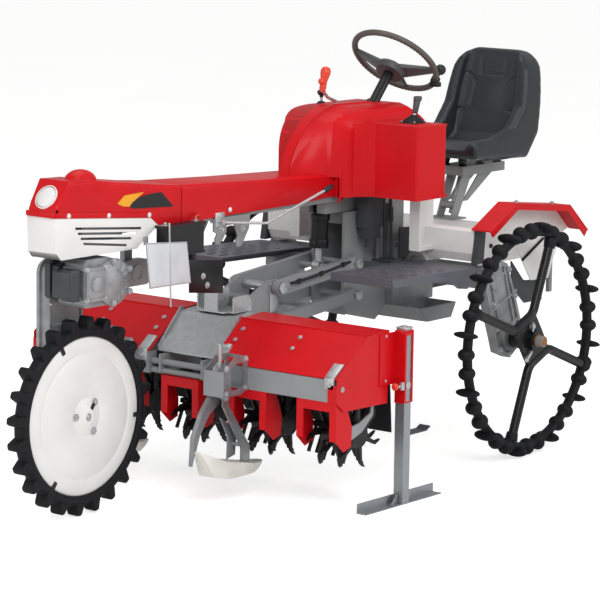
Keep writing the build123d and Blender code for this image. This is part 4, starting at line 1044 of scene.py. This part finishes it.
def make_stand_trim(side, tag):
    """Bands and lock of a parking stand's sleeve, and the cap, bolt and gussets of the stand."""
    y = side * STAND_Y
    sleeve = bmesh.new()
    block(sleeve, at(877, y - 22, 588), at(823, y + 22, 606), 3)
    for z in (600, 357):
        block(sleeve, at(878, side * 713 - 21, z - 2), at(822, side * 713 + 21, z + 2), 1.5)
    piece("sleeve_bands_" + tag, sleeve, RED, "weeder")
    lock = bmesh.new()
    pin(lock, STAND_BACK, LOCK_Z, side * (STAND_FACE - 5), side * (STAND_FACE - 1), 14)
    rod(lock, at(828, side * (STAND_FACE - 10), LOCK_Z), at(790, side * (STAND_FACE - 10), LOCK_Z), 5)
    low, high = span(side, STAND_FACE - 12, STAND_FACE)
    block(lock, at(832, low, 402), at(812, high, 430), 2)
    piece("stand_lock_pin_" + tag, lock, ZINC, "weeder")
    knob = bmesh.new()
    turned(knob, at(800, side * (STAND_FACE - 17), LOCK_Z), AHEAD, [
        (0, 16), (9, 15), (13, 10), (13, 2), (9, -4), (6, -8), (0, -8),
    ], 28)
    piece("stand_lock_knob_" + tag, knob, RED_PLASTIC, "weeder")

    leg = bmesh.new()
    block(leg, at(871, y - 21, 609), at(829, y + 21, 617), 2.5)
    rod(leg, at(STAND_BACK, y, 616), at(STAND_BACK, y, 622), 7)
    piece("stand_top_cap_" + tag, leg, ZINC, "stand_" + tag)
    bolts("stand_foot_bolts_" + tag, [
        at(STAND_BACK, y - side * 20, 20)
    ], (0, -side, 0), "stand_" + tag)
    gusset = bmesh.new()
    for turn in (-1, 1):
        back = STAND_BACK + turn * 22
        plate(gusset, [(back, 4), (back, 44), (back + turn * 36, 4)], y - 3, y + 3)
    piece("stand_foot_gussets_" + tag, gusset, GALVANISED, "stand_" + tag)


def make_weeder_trim():
    """Bolts, zinc tabs and fittings of the weeding unit."""
    for side, tag in SIDES:
        bolts("cover_bolts_" + tag, [
            at(back, side * y, z) for back, z in ((592, 541), (635, 573)) for y in (180, 430)
        ], COVER_SLOPE, "weeder", 9, 4)
        bolts("end_panel_bolts_" + tag, level_with(side * 689, END_BOLTS), (0, side, 0), "weeder", 10, 4)
        tabs = bmesh.new()
        for y in (side * off for off in TAB_Y):
            block(tabs, at(512, y - 20, 440), at(505, y + 20, 478), 1.5)
            plate(tabs, [(512, 474), (505, 478), (560, 520), (565, 515)], y - 20, y + 20)
        piece("cover_tabs_" + tag, tabs, ZINC, "weeder")
        bolts("tab_bolts_" + tag, [at(505, side * y, 458) for y in TAB_Y], AHEAD, "weeder")
        bead = bmesh.new()
        for back, z in ((675, 603), (513, 474.5)):
            rod(bead, at(back, side * 141, z), at(back, side * 683, z), 2.5, segments=10, edge_mm=0)
        piece("cover_beads_" + tag, bead, RED, "weeder")

        make_stand_trim(side, tag)

        skid = side * SKID_Y
        bolts("skid_box_bolts_" + tag, level_with(skid + 44, SKID_BOX_BOLTS), LEFT, "weeder")
        bolts("skid_arm_bolts_" + tag, level_with(skid + 16, SKID_ARM_BOLTS), LEFT, "weeder", 14, 6)
        screw = bmesh.new()
        rod(screw, at(SCREW_BACK, skid, 390), at(SCREW_BACK, skid, 560), 7)
        for n in range(SCREW_TURNS):
            turned(screw, at(SCREW_BACK, skid, 470 + 6 * n), UP, [(6, 1.5), (8.5, 0), (6, -1.5)], 20)
        pin(screw, SCREW_BACK, 556, skid - 40, skid + 40, 5)
        pin(screw, SCREW_BACK, 556, skid + 30, skid + 48, 9, 3)
        piece("skid_height_screw_" + tag, screw, ZINC, "weeder")

    mast = bmesh.new()
    caps = bmesh.new()
    for y in (76, -76):
        block(mast, at(950, y - 3, 540), at(910, y + 3, 690), 2)
    for z, radius, washer_r in MAST_PINS:
        pin(mast, MAST_BACK, z, -116, 116, radius)
        for side, _ in SIDES:
            pin(caps, MAST_BACK, z, side * 112, side * 119, washer_r)
    piece("mast_pins", mast, ZINC, "weeder")
    piece("mast_pin_washers", caps, ZINC, "weeder")


# Height and radius of the heads of the lift bracket's two pins
BRACKET_BACK = 1382
BRACKET_PINS = ((712, 19), (595, 17))
DRIVE_BOLTS = (
    (1650, 660), (1700, 712), (1768, 690), (1812, 585), (1846, 470), (1836, 402), (1786, 374), (1728, 396),
    (1708, 470), (1668, 570),
)
MUDGUARD_EDGE = ((1575, 852), (1744, 938), (2100, 900), (2227, 794))
# The raised treads of a step: rows, treads in a row, and the step's height at its front and rear
TREAD_ROWS = 4
TREADS = 9
STEP_FRONT_Z = 732
STEP_REAR_Z = 722
STEP_LENGTH = 410


def make_linkage_trim():
    """Pin heads on the lift bracket, the cable and ribs of the upper arms, and the cylinder's bands."""
    heads = bmesh.new()
    for side, _ in SIDES:
        for z, radius in BRACKET_PINS:
            pin(heads, BRACKET_BACK, z, side * 108, side * 124, radius)
    piece("bracket_pin_heads", heads, ZINC)
    for side, tag in SIDES:
        arm = bmesh.new()
        for high in (0, -26):
            plate(arm, [
                (1340, 720 + high), (1340, 726 + high), (980, 694 + high), (980, 688 + high),
            ], *span(side, 107, 111), edge_mm=1)
        piece("arm_ribs_" + tag, arm, GREY_STEEL, "upper_arms")
    bent_tube("lift_cable", [
        at(1330, 116, 724), at(1250, 117, 712), at(1160, 117, 700), at(1060, 117, 688), at(985, 116, 684),
    ], 5, BLACK_PLASTIC, "upper_arms")
    clips = bmesh.new()
    for back, z in ((1290, 718), (1160, 700), (1030, 687)):
        rod(clips, at(back + 8, 115, z + 1), at(back - 8, 115, z - 1), 9)
    piece("cable_clips", clips, BLACK_PLASTIC, "upper_arms")
    bands = bmesh.new()
    rod(bands, at(1290, 0, 770), at(1291, 0, 800), 36)
    rod(bands, at(1296, 0, 870), at(1296.5, 0, 892), 36)
    piece("cylinder_bands", bands, BLACK_STEEL, "cylinder_barrel")


def make_rear_trim(side, tag):
    """Bosses and bolts of a final drive, and the fittings of a mudguard, its fender and a step."""
    bosses = bmesh.new()
    for back, z in DRIVE_BOLTS:
        pin(bosses, back, z, side * 500, side * 519, 12, 2)
    piece("final_drive_bosses_" + tag, bosses, CAST)
    bolts("final_drive_bolts_" + tag, level_with(side * 519, DRIVE_BOLTS), (0, side, 0), head_mm=6)
    bolts("mudguard_bolts_" + tag, level_with(side * 520, ((1800, 936), (2040, 910))), UP)
    edge = bmesh.new()
    corners = level_with(side * 561, MUDGUARD_EDGE)
    for start, end in zip(corners, corners[1:]):
        rod(edge, start, end, 3, segments=12, edge_mm=0)
    piece("mudguard_beads_" + tag, edge, RED)
    strut = bmesh.new()
    rod(strut, at(1908, side * 482, 705), at(2046, side * 482, 773), 5)
    for back, z in ((1640, 860), (1700, 780), (2090, 700)):
        pin(strut, back, z, side * 476, side * 484, 8)
    piece("fender_strut_" + tag, strut, BLACK_STEEL)
    post = bmesh.new()
    block(post, at(2128, side * 466 - 8, 560), at(2106, side * 466 + 8, 800), 3)
    piece("fender_post_" + tag, post, GREY_STEEL)
    treads = bmesh.new()
    for n in range(TREADS):
        z = STEP_FRONT_Z + (STEP_REAR_Z - STEP_FRONT_Z) * (46 * n + 26) / STEP_LENGTH
        for row in range(TREAD_ROWS):
            y = side * (290 + 60 * row + 20 * (n % 2))
            block(treads, at(1092 + 40 * n, y - 14, z - 2), at(1084 + 40 * n, y + 14, z + 2.5), 1.2)
    piece("step_treads_" + tag, treads, STEP_STEEL)


# Camera, from the photograph: where it stands, how it is turned in degrees, and its focal length
CAMERA_PLACE = (8.3070, 6.5539, 2.3443)
CAMERA_YAW = 52.105
CAMERA_PITCH = 9.350
CAMERA_ROLL = 0.8487
CAMERA_LENS = 178.4


def make_camera():
    """The camera at the photograph's place and angle."""
    yaw, pitch, roll = (math.radians(a) for a in (CAMERA_YAW, CAMERA_PITCH, CAMERA_ROLL))
    ahead = Vector((-math.sin(yaw) * math.cos(pitch), -math.cos(yaw) * math.cos(pitch), -math.sin(pitch)))
    level = ahead.cross(Vector(UP)).normalized()
    upright = level.cross(ahead)
    right = math.cos(roll) * level + math.sin(roll) * upright
    up = -math.sin(roll) * level + math.cos(roll) * upright
    data = bpy.data.cameras.new("camera")
    data.lens = CAMERA_LENS
    data.sensor_width = 36
    data.clip_end = 100
    camera = bpy.data.objects.new("camera", data)
    aim = Matrix((right, up, -ahead)).transposed().to_4x4()
    camera.matrix_world = Matrix.Translation(CAMERA_PLACE) @ aim
    bpy.context.scene.collection.objects.link(camera)
    bpy.context.scene.camera = camera


def make_floor():
    """A wide plain pale floor."""
    material, tree, shader, place = new_material("pale_floor")
    seen = add_node(tree, "ShaderNodeLightPath").outputs["Is Camera Ray"]
    feed(
        tree, shader, Roughness=0.8, Emission_Color=(1, 1, 1, 1),
        Emission_Strength=spread(tree, seen, 0.0, 0.58),
        Base_Color=ramp(tree, noise(tree, place, 900), 0.3, 0.7, linear("#F4F4F3"), linear("#F8F8F7")),
    )
    mesh = bpy.data.meshes.new("floor")
    form = bmesh.new()
    bmesh.ops.create_grid(form, x_segments=4, y_segments=4, size=30)
    form.to_mesh(mesh)
    form.free()
    floor = bpy.data.objects.new("floor", mesh)
    floor.data.materials.append(material)
    bpy.context.scene.collection.objects.link(floor)


def area_light(name, place, target, size, power):
    """A square soft light that points at a target."""
    data = bpy.data.lights.new(name, "AREA")
    data.size = size
    data.energy = power
    light = bpy.data.objects.new(name, data)
    aim = (Vector(target) - Vector(place)).to_track_quat("-Z", "Y")
    light.matrix_world = Matrix.Translation(place) @ aim.to_matrix().to_4x4()
    bpy.context.scene.collection.objects.link(light)


def make_world():
    """Even white light all round, and a plain white background for the camera."""
    world = bpy.data.worlds.new("studio")
    world.use_nodes = True
    tree = world.node_tree
    tree.nodes.clear()
    rays = add_node(tree, "ShaderNodeLightPath").outputs
    light = add_node(tree, "ShaderNodeBackground", Color=(1, 1, 1, 1), Strength=0.42)
    seen = add_node(tree, "ShaderNodeBackground", Color=(1, 1, 1, 1), Strength=1.0)
    clear = add_node(tree, "ShaderNodeMath", {"operation": "MAXIMUM"}, Value=rays["Is Camera Ray"])
    tree.links.new(rays["Is Transmission Ray"], clear.inputs[1])
    mix = add_node(tree, "ShaderNodeMixShader", Fac=clear.outputs[0])
    tree.links.new(light.outputs[0], mix.inputs[1])
    tree.links.new(seen.outputs[0], mix.inputs[2])
    add_node(tree, "ShaderNodeOutputWorld", Surface=mix.outputs[0])
    bpy.context.scene.world = world


make_front_wheel()
for side, tag in SIDES:
    make_rear_wheel(side, tag)
make_seat()
make_steering_wheel()
make_levers()
make_covers()
make_front_frame()
make_gear_head()
make_weeder_trim()
make_linkage_trim()
for side, tag in SIDES:
    make_rear_trim(side, tag)
make_camera()
make_floor()
make_world()
area_light("key", (3.5, 4.5, 4.6), (0, 0, 0.5), 3.5, 165)
area_light("fill", (6.0, -1.5, 2.6), (0.3, 0, 0.6), 4.0, 75)
area_light("side", (-2.5, 5.5, 3.0), (-0.4, 0, 0.6), 3.0, 75)
area_light("top", (0, 0, 5.5), (0, 0, 0), 4.0, 80)
bpy.context.scene.view_settings.view_transform = "Standard"
